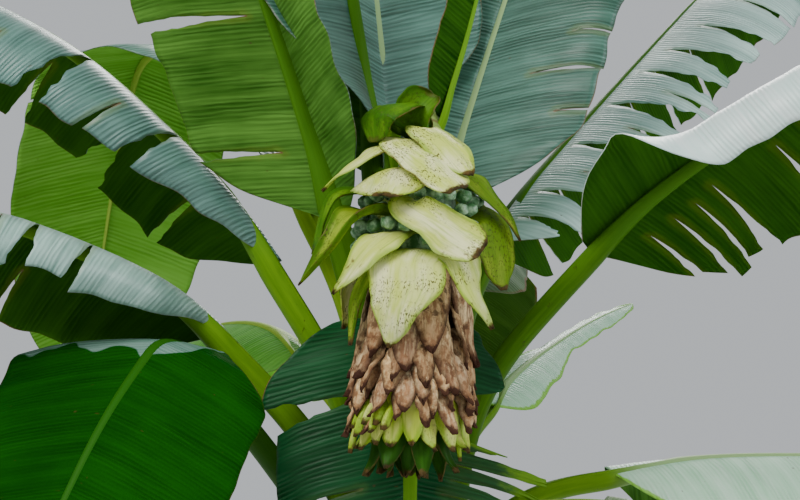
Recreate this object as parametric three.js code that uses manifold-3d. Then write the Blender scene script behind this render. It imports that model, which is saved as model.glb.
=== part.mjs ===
// A banana plant in early fruit, of the kind whose flowering head hangs among broad, pointed bracts.
// Millimetres, +Z up. The origin is the middle of the flat cut under the stem, at ground level;
// the hanging head faces -Y.
import * as THREE from 'three';
import { mergeVertices } from 'three/addons/utils/BufferGeometryUtils.js';
import Module from 'manifold-3d';

const wasm = await Module();
wasm.setup();

// ---- driving dimensions ----
const STEM_HEIGHT = 2960;        // ground to the top of the leaf sheaths
const STEM_FOOT_RADIUS = 235;    // swollen foot at the ground
const STEM_WAIST_RADIUS = 150;   // about half way up
const STEM_TOP_RADIUS = 82;      // where the last leaves leave it
const STEM_LEAN = 30;            // sideways lean of the foot against the top
const STALK_RADIUS = 43;         // half width of a leaf stalk
const STALK_DEPTH = 41;          // half depth of a leaf stalk
const VEIN_ANGLE = 14;           // side veins lean this much towards the leaf's tip
const LEAF_THICKNESS = 0.0105;   // share of a leaf's length
const AXIS_RADIUS = 46;          // the stalk of the hanging head
const HEAD_BACK = 450;           // the hanging head stands this far in front of the stem
const BRACT_THICKNESS = 6;
const SCALE_THICKNESS = 5;
const FRUIT_RADIUS = 26;
const BERRY_ROOM = 58;           // berries keep this far from the middle line of a bract
const GAP = 0.3;                 // clearance between touching pieces

// ---- small tools ----
const UP = new THREE.Vector3(0, 0, 1);
const rad = THREE.MathUtils.degToRad;
const vec = (x, y, z) => new THREE.Vector3(x, y, z);
const heading = (turn, rise = 0) => vec(
  Math.cos(rad(rise)) * Math.cos(rad(turn)), Math.cos(rad(rise)) * Math.sin(rad(turn)), Math.sin(rad(rise)));

// Smooth change between the (place, value) pairs of a short table.
function ease(table, s) {
  if (typeof table === 'number') return table;
  if (s <= table[0][0]) return table[0][1];
  for (let i = 1; i < table.length; i++) {
    if (s <= table[i][0]) {
      const [a, va] = table[i - 1], [b, vb] = table[i];
      const u = (s - a) / (b - a);
      return va + (vb - va) * u * u * (3 - 2 * u);
    }
  }
  return table[table.length - 1][1];
}

// A closed solid from a three.js geometry whose corners are moved by a rule.
function solidFrom(geometry, move) {
  geometry.deleteAttribute('normal');
  geometry.deleteAttribute('uv');
  const merged = mergeVertices(geometry, 1e-5);
  const place = merged.getAttribute('position');
  const point = new THREE.Vector3();
  for (let i = 0; move && i < place.count; i++) {
    point.fromBufferAttribute(place, i);
    const q = move(point);
    place.setXYZ(i, q.x, q.y, q.z);
  }
  const tris = Uint32Array.from(merged.index.array);
  const corner = (k) => new THREE.Vector3().fromBufferAttribute(place, k);
  let volume = 0;
  for (let i = 0; i < tris.length; i += 3) {
    volume += corner(tris[i]).dot(corner(tris[i + 1]).cross(corner(tris[i + 2])));
  }
  if (volume < 0) for (let i = 0; i < tris.length; i += 3) [tris[i], tris[i + 1]] = [tris[i + 1], tris[i]];
  return new wasm.Manifold(new wasm.Mesh({
    numProp: 3, vertProperties: Float32Array.from(place.array), triVerts: tris }));
}

const largest = (solid) => solid.decompose().reduce((a, b) => (b.volume() > a.volume() ? b : a));
const joined = (list) => list.reduce((a, b) => a.add(b));

// ---- leaves ----
// Share of the full half width at share t of the blade's length.
function leafOutline(t) {
  if (t <= 0 || t >= 1) return 0;
  const foot = 1 - (1 - Math.min(t / 0.14, 1)) ** 2.4;
  const tip = 1 - (Math.max(t - 0.55, 0) / 0.45) ** 2.6;
  return (0.12 + 0.88 * foot) * Math.max(tip, 0) ** 0.62;
}

// The line of a leaf from its root to its tip: points with their forward, side and upper directions.
function leafLine(leaf, steps = 80) {
  const length = leaf.stalk + leaf.blade;
  const line = [];
  const p = vec(...leaf.root);
  for (let i = 0; i <= steps; i++) {
    const q = i / steps;
    const turn = leaf.turn + ease(leaf.swing ?? 0, q);
    const forward = heading(turn, ease(leaf.rise, q));
    const side = heading(turn + 90);
    const upper = forward.clone().cross(side);
    const roll = rad(ease(leaf.roll ?? 0, q));
    const s = side.clone().multiplyScalar(Math.cos(roll)).addScaledVector(upper, Math.sin(roll));
    const n = upper.clone().multiplyScalar(Math.cos(roll)).addScaledVector(side, -Math.sin(roll));
    line.push({ p: p.clone(), forward, side: s, upper: n });
    p.addScaledVector(forward, length / steps);
  }
  line.step = length / steps;
  return line;
}

function pointOn(line, s) {
  const i = Math.max(0, Math.min(Math.floor(s / line.step), line.length - 2));
  const u = s / line.step - i;
  const a = line[i], b = line[i + 1];
  const blend = (key) => a[key].clone().lerp(b[key], Math.min(u, 1)).normalize();
  const p = a.p.clone().lerp(b.p, Math.min(u, 1));
  const forward = blend('forward');
  if (u > 1) p.addScaledVector(forward, (u - 1) * line.step);
  return { p, forward, side: blend('side'), upper: blend('upper') };
}

const ribDepth = (leaf, t) => 2 * STALK_DEPTH * (leaf.stout ?? 1) * (0.10 + 0.62 * (1 - t) ** 1.3);

// The blade between two shares of its length, with its rib as a keel below; swell thickens it all round.
function bladeSolid(leaf, from, to, swell = 0) {
  const line = leafLine(leaf);
  const half = leaf.cells ?? 2;                        // strips from the rib to each margin
  const tears = { 1: leaf.left.tears ?? [], [-1]: leaf.right.tears ?? [] };
  const rows = new Set([from, to]);
  const count = leaf.rows ?? 11;
  for (let i = 1; i < count; i++) {
    const t = 1 - (1 - i / count) ** 1.12;
    if (t > from + 0.02 && t < to - 0.02) rows.add(t);
  }
  for (const t of [...tears[1], ...tears[-1]]) {
    if (t > from + 0.02 && t < to - 0.02) {
      for (const r of [...rows]) if (Math.abs(r - t) < 0.03 && r !== from && r !== to) rows.delete(r);
      rows.add(t - 0.012); rows.add(t); rows.add(t + 0.012);
    }
  }
  const places = [...rows].sort((a, b) => a - b);
  const thick = (leaf.stalk + leaf.blade) * LEAF_THICKNESS / 2 + swell;
  const grid = places.map((t) => {
    const reach = Math.min(Math.max(t, 0.012), 0.985);
    const at = pointOn(line, leaf.stalk + t * leaf.blade);
    const row = { 0: { p: at.p, n: at.upper } };
    for (const sign of [1, -1]) {
      const way = sign > 0 ? leaf.left : leaf.right;
      const torn = tears[sign].some((k) => Math.abs(k - t) < 1e-9) ? 0.22 : 1;
      const share = leafOutline(reach) * torn;
      const width = leaf.width / 2 * share * ease(way.wide ?? 1, t) + swell;
      const fold = ease(way.fold, t), curl = ease(way.curl ?? way.fold, t), droop = ease(way.droop ?? 0, t);
      const lean = rad(VEIN_ANGLE + 50 * Math.max(t - 0.75, 0));
      let p = at.p.clone();
      for (let j = 0; j < half; j++) {
        const u = (j + 0.5) / half;
        const f = rad(fold + (curl - fold) * (u * torn) ** 1.3);
        const out = at.side.clone().multiplyScalar(sign * Math.cos(f)).addScaledVector(at.upper, Math.sin(f));
        const way2 = out.clone().multiplyScalar(Math.cos(lean)).addScaledVector(at.forward, Math.sin(lean))
          .addScaledVector(UP, -droop * u * share).normalize();
        p = p.clone().addScaledVector(way2, width / half);
        const n = at.forward.clone().cross(way2).multiplyScalar(sign).normalize();
        row[sign * (j + 1)] = { p, n };
      }
    }
    row.rib = ribDepth(leaf, t);
    return row;
  });
  const box = new THREE.BoxGeometry(2 * half, places.length - 1, 1, 2 * half, places.length - 1, 1);
  return solidFrom(box, (v) => {
    const column = Math.round(v.x), k = Math.round(v.y + (places.length - 1) / 2);
    const { p, n } = grid[k][column];
    const deep = column === 0 && v.z < 0 ? Math.max(grid[k].rib + swell, thick) : thick;
    const end = k === 0 ? -swell : k === places.length - 1 ? swell : 0;
    const forward = pointOn(line, leaf.stalk + places[k] * leaf.blade).forward;
    return p.clone().addScaledVector(n, v.z < 0 ? -deep : thick).addScaledVector(forward, end);
  });
}

// The stalk from the root to the blade: eight sides, channelled on top, wider where it clasps the stem.
function stalkSolid(leaf, to, swell = 0) {
  const line = leafLine(leaf);
  const rings = leaf.rings ?? 6;
  const tube = new THREE.CylinderGeometry(1, 1, 1, 8, rings).rotateX(Math.PI / 2);
  return solidFrom(tube, (v) => {
    const share = v.z + 0.5;
    const at = pointOn(line, share * to);
    const angle = Math.atan2(v.y, v.x), off = Math.hypot(v.x, v.y) < 0.5 ? 0 : 1;
    const spread = 1 + 0.45 * (1 - share) ** 2;
    const size = (leaf.stout ?? 1);
    const across = (STALK_RADIUS * size * spread + swell) * Math.cos(angle) * off;
    const channel = Math.sin(angle) > 0.9 ? 0.45 : 1;
    const down = (STALK_DEPTH * size + swell) * Math.sin(angle) * channel * off;
    const end = share < 1e-6 ? -swell : share > 1 - 1e-6 ? swell : 0;
    return at.p.clone().addScaledVector(at.side, across)
      .addScaledVector(at.upper, down - STALK_DEPTH * size * 0.7).addScaledVector(at.forward, end);
  });
}

const LEAVES = [
  { name: 'leaf_01', root: [-90, -20, 2460], turn: 186, stalk: 725, blade: 2125, width: 680, cells: 3, stout: 1.15,
    rise: [[0, 84], [0.2, 58], [0.45, 42], [0.62, 26], [1, -35]],
    left: { fold: -4, curl: -112, tears: [0.205, 0.355], wide: [[0.02, 0.4], [0.1, 0.55], [0.2, 0.8], [0.3, 1]] },
    right: { fold: -28, curl: -50, droop: 0.3, tears: [0.26] } },
  { name: 'leaf_02', root: [-100, -60, 2400], turn: 198, stalk: 665, blade: 1905, width: 660, cells: 3, stout: 1.1,
    rise: [[0, 62], [0.2, 45], [0.42, 20], [0.6, 6], [1, -50]],
    left: { fold: 6, curl: -118, tears: [0.3], wide: [[0.02, 0.5], [0.12, 0.66], [0.25, 0.85], [0.4, 1]] },
    right: { fold: -32, curl: -55, droop: 0.3, tears: [0.5] } },
  { name: 'leaf_03', root: [-60, -70, 2700], turn: 222, stalk: 550, blade: 1950, width: 740,
    rise: [[0, 78], [0.25, 66], [0.6, 62], [1, 10]],
    left: { fold: -25, curl: -20 }, right: { fold: -38, curl: -30, tears: [0.3] } },
  { name: 'leaf_04', root: [-30, -60, 2860], turn: 236, stalk: 500, blade: 1800, width: 620, cells: 3,
    rise: [[0, 86], [0.25, 75], [0.6, 72], [1, 30]],
    left: { fold: [[0, -40], [0.3, -100], [1, -125]], curl: [[0, -60], [0.3, -130], [1, -150]] },
    right: { fold: -20, curl: -10 } },
  { name: 'leaf_05', root: [-20, 70, 2860], turn: 114, stalk: 720, blade: 1800, width: 660,
    rise: [[0, 88], [0.3, 77], [0.6, 74], [1, 40]],
    left: { fold: 20 }, right: { fold: 10 } },
  { name: 'leaf_06', root: [50, 70, 2880], turn: 52, stalk: 420, blade: 1950, width: 780,
    rise: [[0, 88], [0.25, 64], [0.6, 62], [1, 25]],
    left: { fold: 15 }, right: { fold: -4, curl: -16, droop: 0.1 } },
  { name: 'leaf_07', root: [90, 50, 2720], turn: 50, stalk: 560, blade: 2100, width: 700,
    rise: [[0, 82], [0.22, 46], [0.36, 39], [0.7, 38], [1, 6]],
    left: { fold: -78, curl: -88, droop: 0.3, tears: [0.19, 0.35] },
    right: { fold: -8, curl: -48, droop: 0.3, tears: [0.235, 0.365] } },
  { name: 'leaf_08', root: [100, -50, 2420], turn: 333, stalk: 860, blade: 2050, width: 720, cells: 3, stout: 0.85,
    rise: [[0, 82], [0.22, 44], [0.5, 26], [0.7, 14], [1, -30]],
    left: { fold: -44, curl: -60, droop: 0.3, tears: [0.17, 0.42] },
    right: { fold: [[0, 28], [0.12, 38], [0.22, 32], [1, 24]], curl: [[0, 10], [0.1, -20], [0.2, -112], [1, -120]],
      wide: [[0.1, 1], [0.24, 0.95], [1, 0.9]] } },
  { name: 'leaf_09', root: [0, -100, 2330], turn: 269, stalk: 600, blade: 1700, width: 800, split: 0.42,
    rise: [[0, 90], [0.22, 89], [0.32, -72], [0.4, -87], [1, -89]],
    roll: [[0, 0], [0.3, 10], [1, 10]],
    left: { fold: -6, curl: -16, tears: [0.235],
      wide: [[0.02, 1], [0.06, 0.7], [0.12, 0.68], [0.16, 0.3], [0.21, 0.3], [0.24, 1]] },
    right: { fold: 18, curl: 6, tears: [0.155], wide: [[0.3, 1], [0.4, 1.4], [1, 1.3]] } },
  { name: 'leaf_10', root: [84, 56, 2440], turn: 61, stalk: 450, blade: 1150, width: 320, stout: 0.75,
    rise: [[0, 66], [0.25, 30], [0.6, 20], [1, 14]], rows: 9,
    left: { fold: 4, wide: [[0.05, 0.7], [0.2, 0.55], [0.4, 0.2], [1, 0.2]] },
    right: { fold: -30, curl: -66, wide: [[0, 0.85], [0.25, 0.7], [0.5, 0.34], [1, 0.34]] } },
  { name: 'leaf_11', root: [-64, 48, 2700], turn: 160, stalk: 620, blade: 2000, width: 720, rows: 13,
    rise: [[0, 80], [0.25, 60], [0.45, 43], [0.56, 0], [0.66, -62], [1, -74]],
    swing: [[0.35, 0], [0.6, -40], [1, -48]],
    left: { fold: -5, curl: -16, wide: [[0.28, 0.5], [0.42, 0.9], [0.5, 1]] },
    right: { fold: 0, curl: -10, wide: [[0.28, 0.5], [0.42, 0.9], [0.5, 1]] } },
  { name: 'leaf_12', root: [20, 110, 2500], turn: 84, stalk: 700, blade: 1950, width: 700, split: 0.42,
    rise: [[0, 80], [0.22, 48], [0.5, 20], [0.75, -25], [1, -60]],
    left: { fold: -15, curl: -40, droop: 0.3, tears: [0.3] },
    right: { fold: -15, curl: -40, droop: 0.3, tears: [0.62] } },
  { name: 'leaf_13', root: [-40, 92, 2380], turn: 124, stalk: 700, blade: 1900, width: 660, split: 0.34,
    rise: [[0, 74], [0.22, 34], [0.5, 0], [0.75, -45], [1, -75]],
    left: { fold: -25, curl: -50, droop: 0.5 }, right: { fold: -25, curl: -50, droop: 0.5, tears: [0.55] } },
  { name: 'leaf_14', root: [-100, -5, 2240], turn: 200, stalk: 740, blade: 1720, width: 720, split: 0.24,
    rise: [[0, 56], [0.15, 52], [0.3, 44], [0.36, 0], [0.42, -44], [0.6, -54], [1, -66]],
    swing: [[0.22, 0], [0.36, 38], [1, 44]], roll: [[0.27, 0], [0.42, -15], [1, -18]],
    left: { fold: -4, curl: -14, droop: 0.1, wide: [[0, 0.35], [0.06, 0.7], [0.13, 1.1], [0.3, 1.15], [1, 1.1]] },
    right: { fold: -4, curl: -14, droop: 0.1, wide: [[0.1, 1.2], [0.3, 1.1], [1, 1.1]] } },
  { name: 'leaf_15', root: [110, -50, 2260], turn: 318, stalk: 620, blade: 1750, width: 620, split: 0.26,
    rise: [[0, 52], [0.2, 0], [0.4, -32], [0.7, -64], [1, -82]],
    left: { fold: -20, curl: -45, droop: 0.5 }, right: { fold: -25, curl: -45, droop: 0.6, tears: [0.55] } },
  { name: 'leaf_16', root: [120, 30, 2320], turn: 10, stalk: 520, blade: 1940, width: 640, split: 0.42,
    rise: [[0, 50], [0.2, 8], [0.45, 0], [0.7, -34], [1, -75]],
    left: { fold: -20, curl: -45, droop: 0.5, tears: [0.5] }, right: { fold: -25, curl: -45, droop: 0.6 } },
  { name: 'flag_leaf', root: [64, -392, 3405], turn: 352, stalk: 60, blade: 860, width: 200, stout: 0.35,
    rise: [[0, 70], [0.5, 76], [1, 60]], rows: 7, rings: 2, whole: true, left: { fold: 50 }, right: { fold: 40 } },
];

// ---- the stem ----
function stemSolid(swell = 0) {
  const profile = [[0, 0], [STEM_FOOT_RADIUS, 0], [STEM_FOOT_RADIUS * 0.97, 120], [208, 420],
    [178, 900], [STEM_WAIST_RADIUS, 1500], [132, 2100], [118, 2500], [100, 2780],
    [STEM_TOP_RADIUS, STEM_HEIGHT], [0, STEM_HEIGHT + 20]];
  const lathe = new THREE.LatheGeometry(profile.map(([r, z]) => new THREE.Vector2(r, z)), 16);
  return solidFrom(lathe.rotateX(Math.PI / 2), (v) => {
    const r = Math.hypot(v.x, v.y), angle = Math.atan2(v.y, v.x), high = v.z / STEM_HEIGHT;
    const round = r < 1 ? 0 : r + swell;
    const lean = STEM_LEAN * (high - high * high) * 1.6;
    const tall = v.z < 1 ? 0 : v.z + (v.z > STEM_HEIGHT - 1 ? swell : 0);
    return vec(round * Math.cos(angle) + lean, round * Math.sin(angle) * (1 - 0.06 * (1 - high)), tall);
  });
}

// ---- the hanging head ----
const INSIDE = AXIS_RADIUS + GAP + 1;   // bore of what sits on its stalk
const AXIS = new THREE.CatmullRomCurve3([
  vec(0, 0, STEM_HEIGHT + 14), vec(4, -20, 3180), vec(16, -70, 3340), vec(34, -180, 3455), vec(48, -310, 3470),
  vec(50, -410, 3390), vec(42, -HEAD_BACK, 3240), vec(28, -HEAD_BACK - 5, 3060),
  vec(16, -HEAD_BACK - 5, 2860), vec(8, -HEAD_BACK, 2640)], false, 'centripetal');

const BEND = 0.38;                // share of its length where the stalk of the head turns over
function axisSolid(from, to, swell = 0) {
  const steps = Math.round(15 * (to - from));
  const tube = new THREE.CylinderGeometry(1, 1, 1, 8, steps).rotateX(Math.PI / 2);
  return solidFrom(tube, (v) => {
    const u = from + (to - from) * (v.z + 0.5);
    const at = AXIS.getPointAt(u), forward = AXIS.getTangentAt(u);
    const side = vec(1, 0, 0).addScaledVector(forward, -forward.x).normalize();
    const other = forward.clone().cross(side);
    const r = AXIS_RADIUS * (u < 0.2 ? 1.25 - 1.25 * u : 1) + swell;
    const end = v.z < -0.4999 ? -swell : v.z > 0.4999 ? swell : 0;
    return at.clone().addScaledVector(side, v.x * r).addScaledVector(other, v.y * r).addScaledVector(forward, end);
  });
}

// The middle line of the hanging part at a height.
function headAt(z) {
  const points = AXIS.points;
  for (let i = 6; i < points.length; i++) {
    if (z >= points[i].z || i === points.length - 1) {
      const a = points[i - 1], b = points[i], u = (z - a.z) / (b.z - a.z);
      return vec(a.x + (b.x - a.x) * u, -HEAD_BACK, z);
    }
  }
  return vec(8, -HEAD_BACK, z);
}

// Where a bract grows out of the axis: the point of the hanging side at a height, a little off its middle.
function footAt(turn, z) {
  for (let u = 0.5; u < 1; u += 0.005) {
    const p = AXIS.getPointAt(u);
    if (p.z <= z) return p.addScaledVector(heading(turn), 20);
  }
  return AXIS.getPointAt(1);
}

// A place round the head: turn about its middle line, distance from it, height.
function round(turn, out, z) {
  return headAt(z).addScaledVector(heading(turn), out);
}

// A bract along a smooth line from its foot through three points, the last one its tip. The face is the
// way that its outer side looks; wide is the full width, reached at the share full; cup bends both margins
// back, blunt rounds the tip.
function bractCurve(b) {
  return new THREE.CatmullRomCurve3([footAt(...b.foot), ...b.through.map((p) => vec(...p))], false, 'centripetal');
}

function bractSolid(b, swell = 0) {
  const curve = bractCurve(b);
  const rows = b.rows ?? 6, strips = 2;
  const thick = (b.thick ?? BRACT_THICKNESS) / 2 + swell;
  const face = heading(...b.face);
  const blunt = b.blunt ?? 0.1, full = b.full ?? 0.5;
  const width = (t) => b.wide / 2 * (0.38 + 0.62 * Math.min(t / full, 1) ** 0.8)
    * Math.max(1 - (Math.max(t - full, 0) / (1.01 - full)) ** (1.25 + 3.2 * blunt), 0) ** (0.95 - 0.45 * blunt);
  const box = new THREE.BoxGeometry(2, rows, 1, strips, rows, 1);
  return solidFrom(box, (v) => {
    const t = Math.round(v.y + rows / 2) / rows;
    const at = curve.getPointAt(t), forward = curve.getTangentAt(t);
    const out = face.clone().addScaledVector(forward, -face.dot(forward)).normalize();
    const side = forward.clone().cross(out);
    const w = width(Math.min(t, 0.97)) + swell;
    const bend = (b.cup ?? 0.28) * w * v.x * v.x;
    const end = t === 0 ? -swell : t === 1 ? swell : 0;
    return at.addScaledVector(side, v.x * w).addScaledVector(out, (v.z > 0 ? thick : -thick) - bend)
      .addScaledVector(forward, end);
  });
}

const BRACTS = [
  { name: 'bract_front', foot: [262, 3105], through: [[-10, -636, 3062], [-30, -664, 2944], [-54, -626, 2826]],
    wide: 225, face: [256, 25], blunt: 0.12, full: 0.46 },
  { name: 'bract_front_left', foot: [245, 3150], through: [[-68, -622, 3112], [-124, -642, 3052], [-184, -610, 2962]],
    wide: 118, face: [240, 25], blunt: 0.05 },
  { name: 'bract_front_right', foot: [262, 3235], through: [[0, -640, 3190], [84, -668, 3132], [184, -668, 3062]],
    wide: 128, face: [272, 25], blunt: 1, full: 0.7 },
  { name: 'bract_right', foot: [310, 3095], through: [[126, -620, 3060], [160, -632, 2972], [222, -592, 2880]],
    wide: 120, face: [292, 25], blunt: 0, full: 0.45 },
  { name: 'bract_middle', foot: [258, 3290], through: [[-16, -560, 3300], [-42, -640, 3262], [-58, -692, 3192]],
    wide: 225, face: [250, 60], cup: 0.4, blunt: 0.5 },
  { name: 'bract_top', foot: [270, 3370], through: [[-16, -560, 3372], [50, -640, 3302], [122, -684, 3212]],
    wide: 165, face: [268, 45], blunt: 1, full: 0.7 },
  { name: 'bract_top_right', foot: [300, 3400], through: [[36, -560, 3404], [98, -602, 3346], [160, -640, 3262]],
    wide: 110, face: [288, 45], blunt: 0.5, full: 0.6 },
  { name: 'bract_top_left', foot: [215, 3350], through: [[-58, -540, 3362], [-137, -580, 3304], [-226, -572, 3244]],
    wide: 115, face: [228, 50], blunt: 0, full: 0.45 },
  { name: 'bract_far_right', foot: [340, 3310], through: [[162, -520, 3280], [228, -512, 3210], [298, -490, 3122]],
    wide: 100, face: [308, 30], blunt: 0, full: 0.4 },
  { name: 'bract_right_back', foot: [2, 3185], through: [[206, -500, 3180], [232, -500, 3090], [246, -500, 2988]],
    wide: 130, face: [305, 25], blunt: 0.8 },
  { name: 'bract_left_back', foot: [196, 3190], through: [[-140, -580, 3166], [-204, -592, 3082], [-282, -560, 2996]],
    wide: 120, face: [222, 25], cup: -0.2, blunt: 0, full: 0.4 },
  { name: 'bract_left_edge', foot: [170, 3250], through: [[-186, -500, 3244], [-222, -500, 3170], [-238, -500, 3080]],
    wide: 100, face: [205, 25] },
  { name: 'bract_left_low', foot: [190, 3065], through: [[-90, -475, 3050], [-136, -492, 2975], [-150, -505, 2846]],
    wide: 95, face: [215, 25] },
  { name: 'bract_back_right', foot: [42, 3260], through: [[110, -385, 3268], [164, -345, 3232], [223, -293, 3105]],
    wide: 160, face: [40, 25] },
  { name: 'bract_back_left', foot: [128, 3300], through: [[-15, -370, 3318], [-67, -322, 3272], [-122, -275, 3150]],
    wide: 165, face: [130, 25] },
  { name: 'bract_back_low', foot: [80, 3120], through: [[44, -330, 3128], [40, -266, 3062], [11, -258, 2900]],
    wide: 170, face: [86, 25] },
  { name: 'bract_back_side', foot: [150, 3110], through: [[-60, -395, 3115], [-130, -358, 3058], [-179, -362, 2905]],
    wide: 140, face: [150, 25] },
  { name: 'bract_curled', foot: [240, 3440], through: [[-26, -535, 3470], [-86, -560, 3440], [-96, -560, 3366]],
    wide: 140, face: [222, 48], cup: 0.45, blunt: 0.8 },
  { name: 'bract_upright', foot: [285, 3415], through: [[20, -510, 3416], [38, -530, 3456], [72, -525, 3498]],
    wide: 125, face: [265, 25], cup: -0.35, blunt: 0.9 },
];

// Fruits, but for where a bract grows: angular berries in two rings round the axis, on a fleshy cushion.
function fruitSolid(swell = 0) {
  const parts = [collar([[INSIDE, 3085], [118, 3095], [126, 3160], [120, 3225], [INSIDE, 3240]], 16, swell)];
  const growing = BRACTS.flatMap((b) => [0.15, 0.3, 0.45, 0.6].map((t) => bractCurve(b).getPointAt(t)));
  for (const [level, z, out, lag] of [[0, 3202, 146, 0], [1, 3148, 148, 12]]) {
    for (let i = 0; i < 15; i++) {
      const p = round(i * 24 + lag, out, z + 7 * Math.sin(i * 2.3 + level));
      if (growing.some((q) => q.distanceTo(p) < BERRY_ROOM)) continue;
      const away = heading(i * 24 + lag);
      const berry = new THREE.SphereGeometry(1, 5, 3);
      parts.push(solidFrom(berry, (v) => p.clone().addScaledVector(away, v.x * FRUIT_RADIUS * 1.35)
        .addScaledVector(away, v.x * swell).addScaledVector(vec(-away.y, away.x, 0), v.y * (FRUIT_RADIUS + swell))
        .addScaledVector(UP, v.z * (FRUIT_RADIUS + swell))));
    }
  }
  return joined(parts);
}

// A ring round the axis from a closed profile of (radius, height).
function collar(profile, sides, swell = 0) {
  const middle = (k) => profile.reduce((sum, c) => sum + c[k], 0) / profile.length;
  const apart = (value, centre) => value + (value > centre ? swell : -swell);
  const ring = [...profile, profile[0]].map(([r, z]) => new THREE.Vector2(
    apart(r, middle(0)), apart(z, middle(1))));
  return solidFrom(new THREE.LatheGeometry(ring, sides).rotateX(Math.PI / 2),
    (v) => vec(v.x, v.y, 0).add(headAt(v.z)));
}

// A tier of shingled bracts: a skirt round the axis whose lower rim runs in points. Its wall is solid
// up to the axis at the top and hollow below.
function tierSolid(t, swell = 0) {
  const ring = [0, 1, 2, 3, 4, 0].map((k) => new THREE.Vector2(1, k));
  const lathe = new THREE.LatheGeometry(ring, 2 * t.count).rotateX(Math.PI / 2);
  return solidFrom(lathe, (v) => {
    const turn = THREE.MathUtils.radToDeg(Math.atan2(v.y, v.x));
    const column = Math.round(turn / 180 * t.count), point = column % 2 === 0 ? 1 : 0;
    const ragged = 10 * Math.sin(column * 2.9 + t.first);
    const rim = t.rim - t.tooth * (1 - point), low = t.low + t.rise * (1 - point) + ragged;
    const [out, z] = [
      [INSIDE - swell, t.high + swell],
      [t.top + swell, t.high + swell],
      [rim + swell, low - swell],
      [rim - SCALE_THICKNESS - swell, low - swell],
      [INSIDE - swell, t.inner - swell],
    ][Math.round(v.z)];
    return round(turn + t.first, out, z);
  });
}

const TIERS = {
  dry_bracts_upper: [
    { count: 7, first: 284, high: 3045, top: 108, low: 2812, rim: 160, rise: 130, tooth: 14, inner: 2960 },
    { count: 9, first: 262, high: 2955, top: 128, low: 2760, rim: 166, rise: 105, tooth: 12, inner: 2860 }],
  dry_bracts_lower: [
    { count: 10, first: 274, high: 2856, top: 128, low: 2702, rim: 170, rise: 95, tooth: 12, inner: 2780 },
    { count: 11, first: 255, high: 2790, top: 132, low: 2638, rim: 170, rise: 95, tooth: 12, inner: 2720 }],
  fresh_bracts: [
    { count: 10, first: 268, high: 2715, top: 108, low: 2578, rim: 148, rise: 90, tooth: 12, inner: 2660 }],
};

// Green bracts that still wrap the young tip of the head.
function innerSolid(swell = 0) {
  const skirt = tierSolid({ count: 8, first: 262, high: 2655, top: 84, low: 2508, rim: 106, rise: 90, tooth: 10,
    inner: 2600 }, swell);
  return skirt.add(collar([[6, 2520], [34, 2540], [60, 2610], [60, 2636], [6, 2636]], 8, swell));
}

// ---- putting it together: each piece is cut clear of those that stand before it ----
const plant = new THREE.Group();
const standing = [];
const FINISH = {
  stem: ['#6f7f45', 0.75], stalk: ['#8aa63c', 0.5], blade: ['#4f7f52', 0.55], head: ['#9aa050', 0.6],
  bract: ['#c3cf8a', 0.65], fruit: ['#3d6650', 0.5], dry: ['#8d6a55', 0.85], fresh: ['#b9c862', 0.6],
  inner: ['#2f6b2c', 0.5],
};

function near(a, b) {
  const p = a.boundingBox(), q = b.boundingBox();
  return [0, 1, 2].every((i) => p.min[i] < q.max[i] + 1 && q.min[i] < p.max[i] + 1);
}

function stand(name, finish, solid, swollen) {
  for (const other of standing) {
    if (near(solid, other) && solid.intersect(other).volume() > 1e-3) solid = solid.subtract(other);
  }
  solid = largest(solid);
  standing.push(swollen.add(solid));
  const { vertProperties, triVerts, numProp } = solid.getMesh();
  const corners = new Float32Array(vertProperties.length / numProp * 3);
  for (let i = 0; i < corners.length / 3; i++) {
    for (let k = 0; k < 3; k++) corners[3 * i + k] = vertProperties[numProp * i + k];
  }
  const geometry = new THREE.BufferGeometry();
  geometry.setAttribute('position', new THREE.BufferAttribute(corners, 3));
  geometry.setIndex([...triVerts]);
  geometry.computeVertexNormals();
  const [color, roughness] = FINISH[finish];
  const mesh = new THREE.Mesh(geometry, new THREE.MeshStandardMaterial({ color, roughness, metalness: 0 }));
  mesh.name = name;
  plant.add(mesh);
}

stand('pseudostem', 'stem', stemSolid(), stemSolid(GAP));
stand('flower_stalk_rising', 'head', axisSolid(0, BEND), axisSolid(0, BEND, GAP));
stand('flower_stalk_hanging', 'head', axisSolid(BEND, 1), axisSolid(BEND, 1, GAP));

stand('fruit', 'fruit', fruitSolid(), fruitSolid(GAP));
for (const [name, tiers] of Object.entries(TIERS)) {
  const shape = (swell) => joined(tiers.map((t) => tierSolid(t, swell)));
  stand(name, name.startsWith('dry') ? 'dry' : 'fresh', shape(0), shape(GAP));
}
stand('inner_bracts', 'inner', innerSolid(), innerSolid(GAP));
for (const b of BRACTS) stand(b.name, 'bract', bractSolid(b), bractSolid(b, GAP));

for (const leaf of LEAVES) {
  const far = leaf.split ?? 0;
  if (leaf.whole) {
    const shape = (swell) => stalkSolid(leaf, leaf.stalk + 30, swell).add(bladeSolid(leaf, 0, 1, swell));
    stand(leaf.name, 'blade', shape(0), shape(GAP));
    continue;
  }
  if (far) {
    const shape = (swell) => stalkSolid(leaf, leaf.stalk + 60, swell)
      .add(bladeSolid(leaf, 0, far - 0.7 / leaf.blade, swell));
    stand(`${leaf.name}_stalk`, 'stalk', shape(0), shape(GAP));
  } else {
    stand(`${leaf.name}_stalk`, 'stalk', stalkSolid(leaf, leaf.stalk - 0.4), stalkSolid(leaf, leaf.stalk - 0.4, GAP));
  }
  stand(`${leaf.name}_blade`, 'blade', bladeSolid(leaf, far, 1), bladeSolid(leaf, far, 1, GAP));
}

export default plant;
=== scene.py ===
import math
import random

import bmesh
import bpy
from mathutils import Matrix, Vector, noise
from mathutils.kdtree import KDTree


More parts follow.
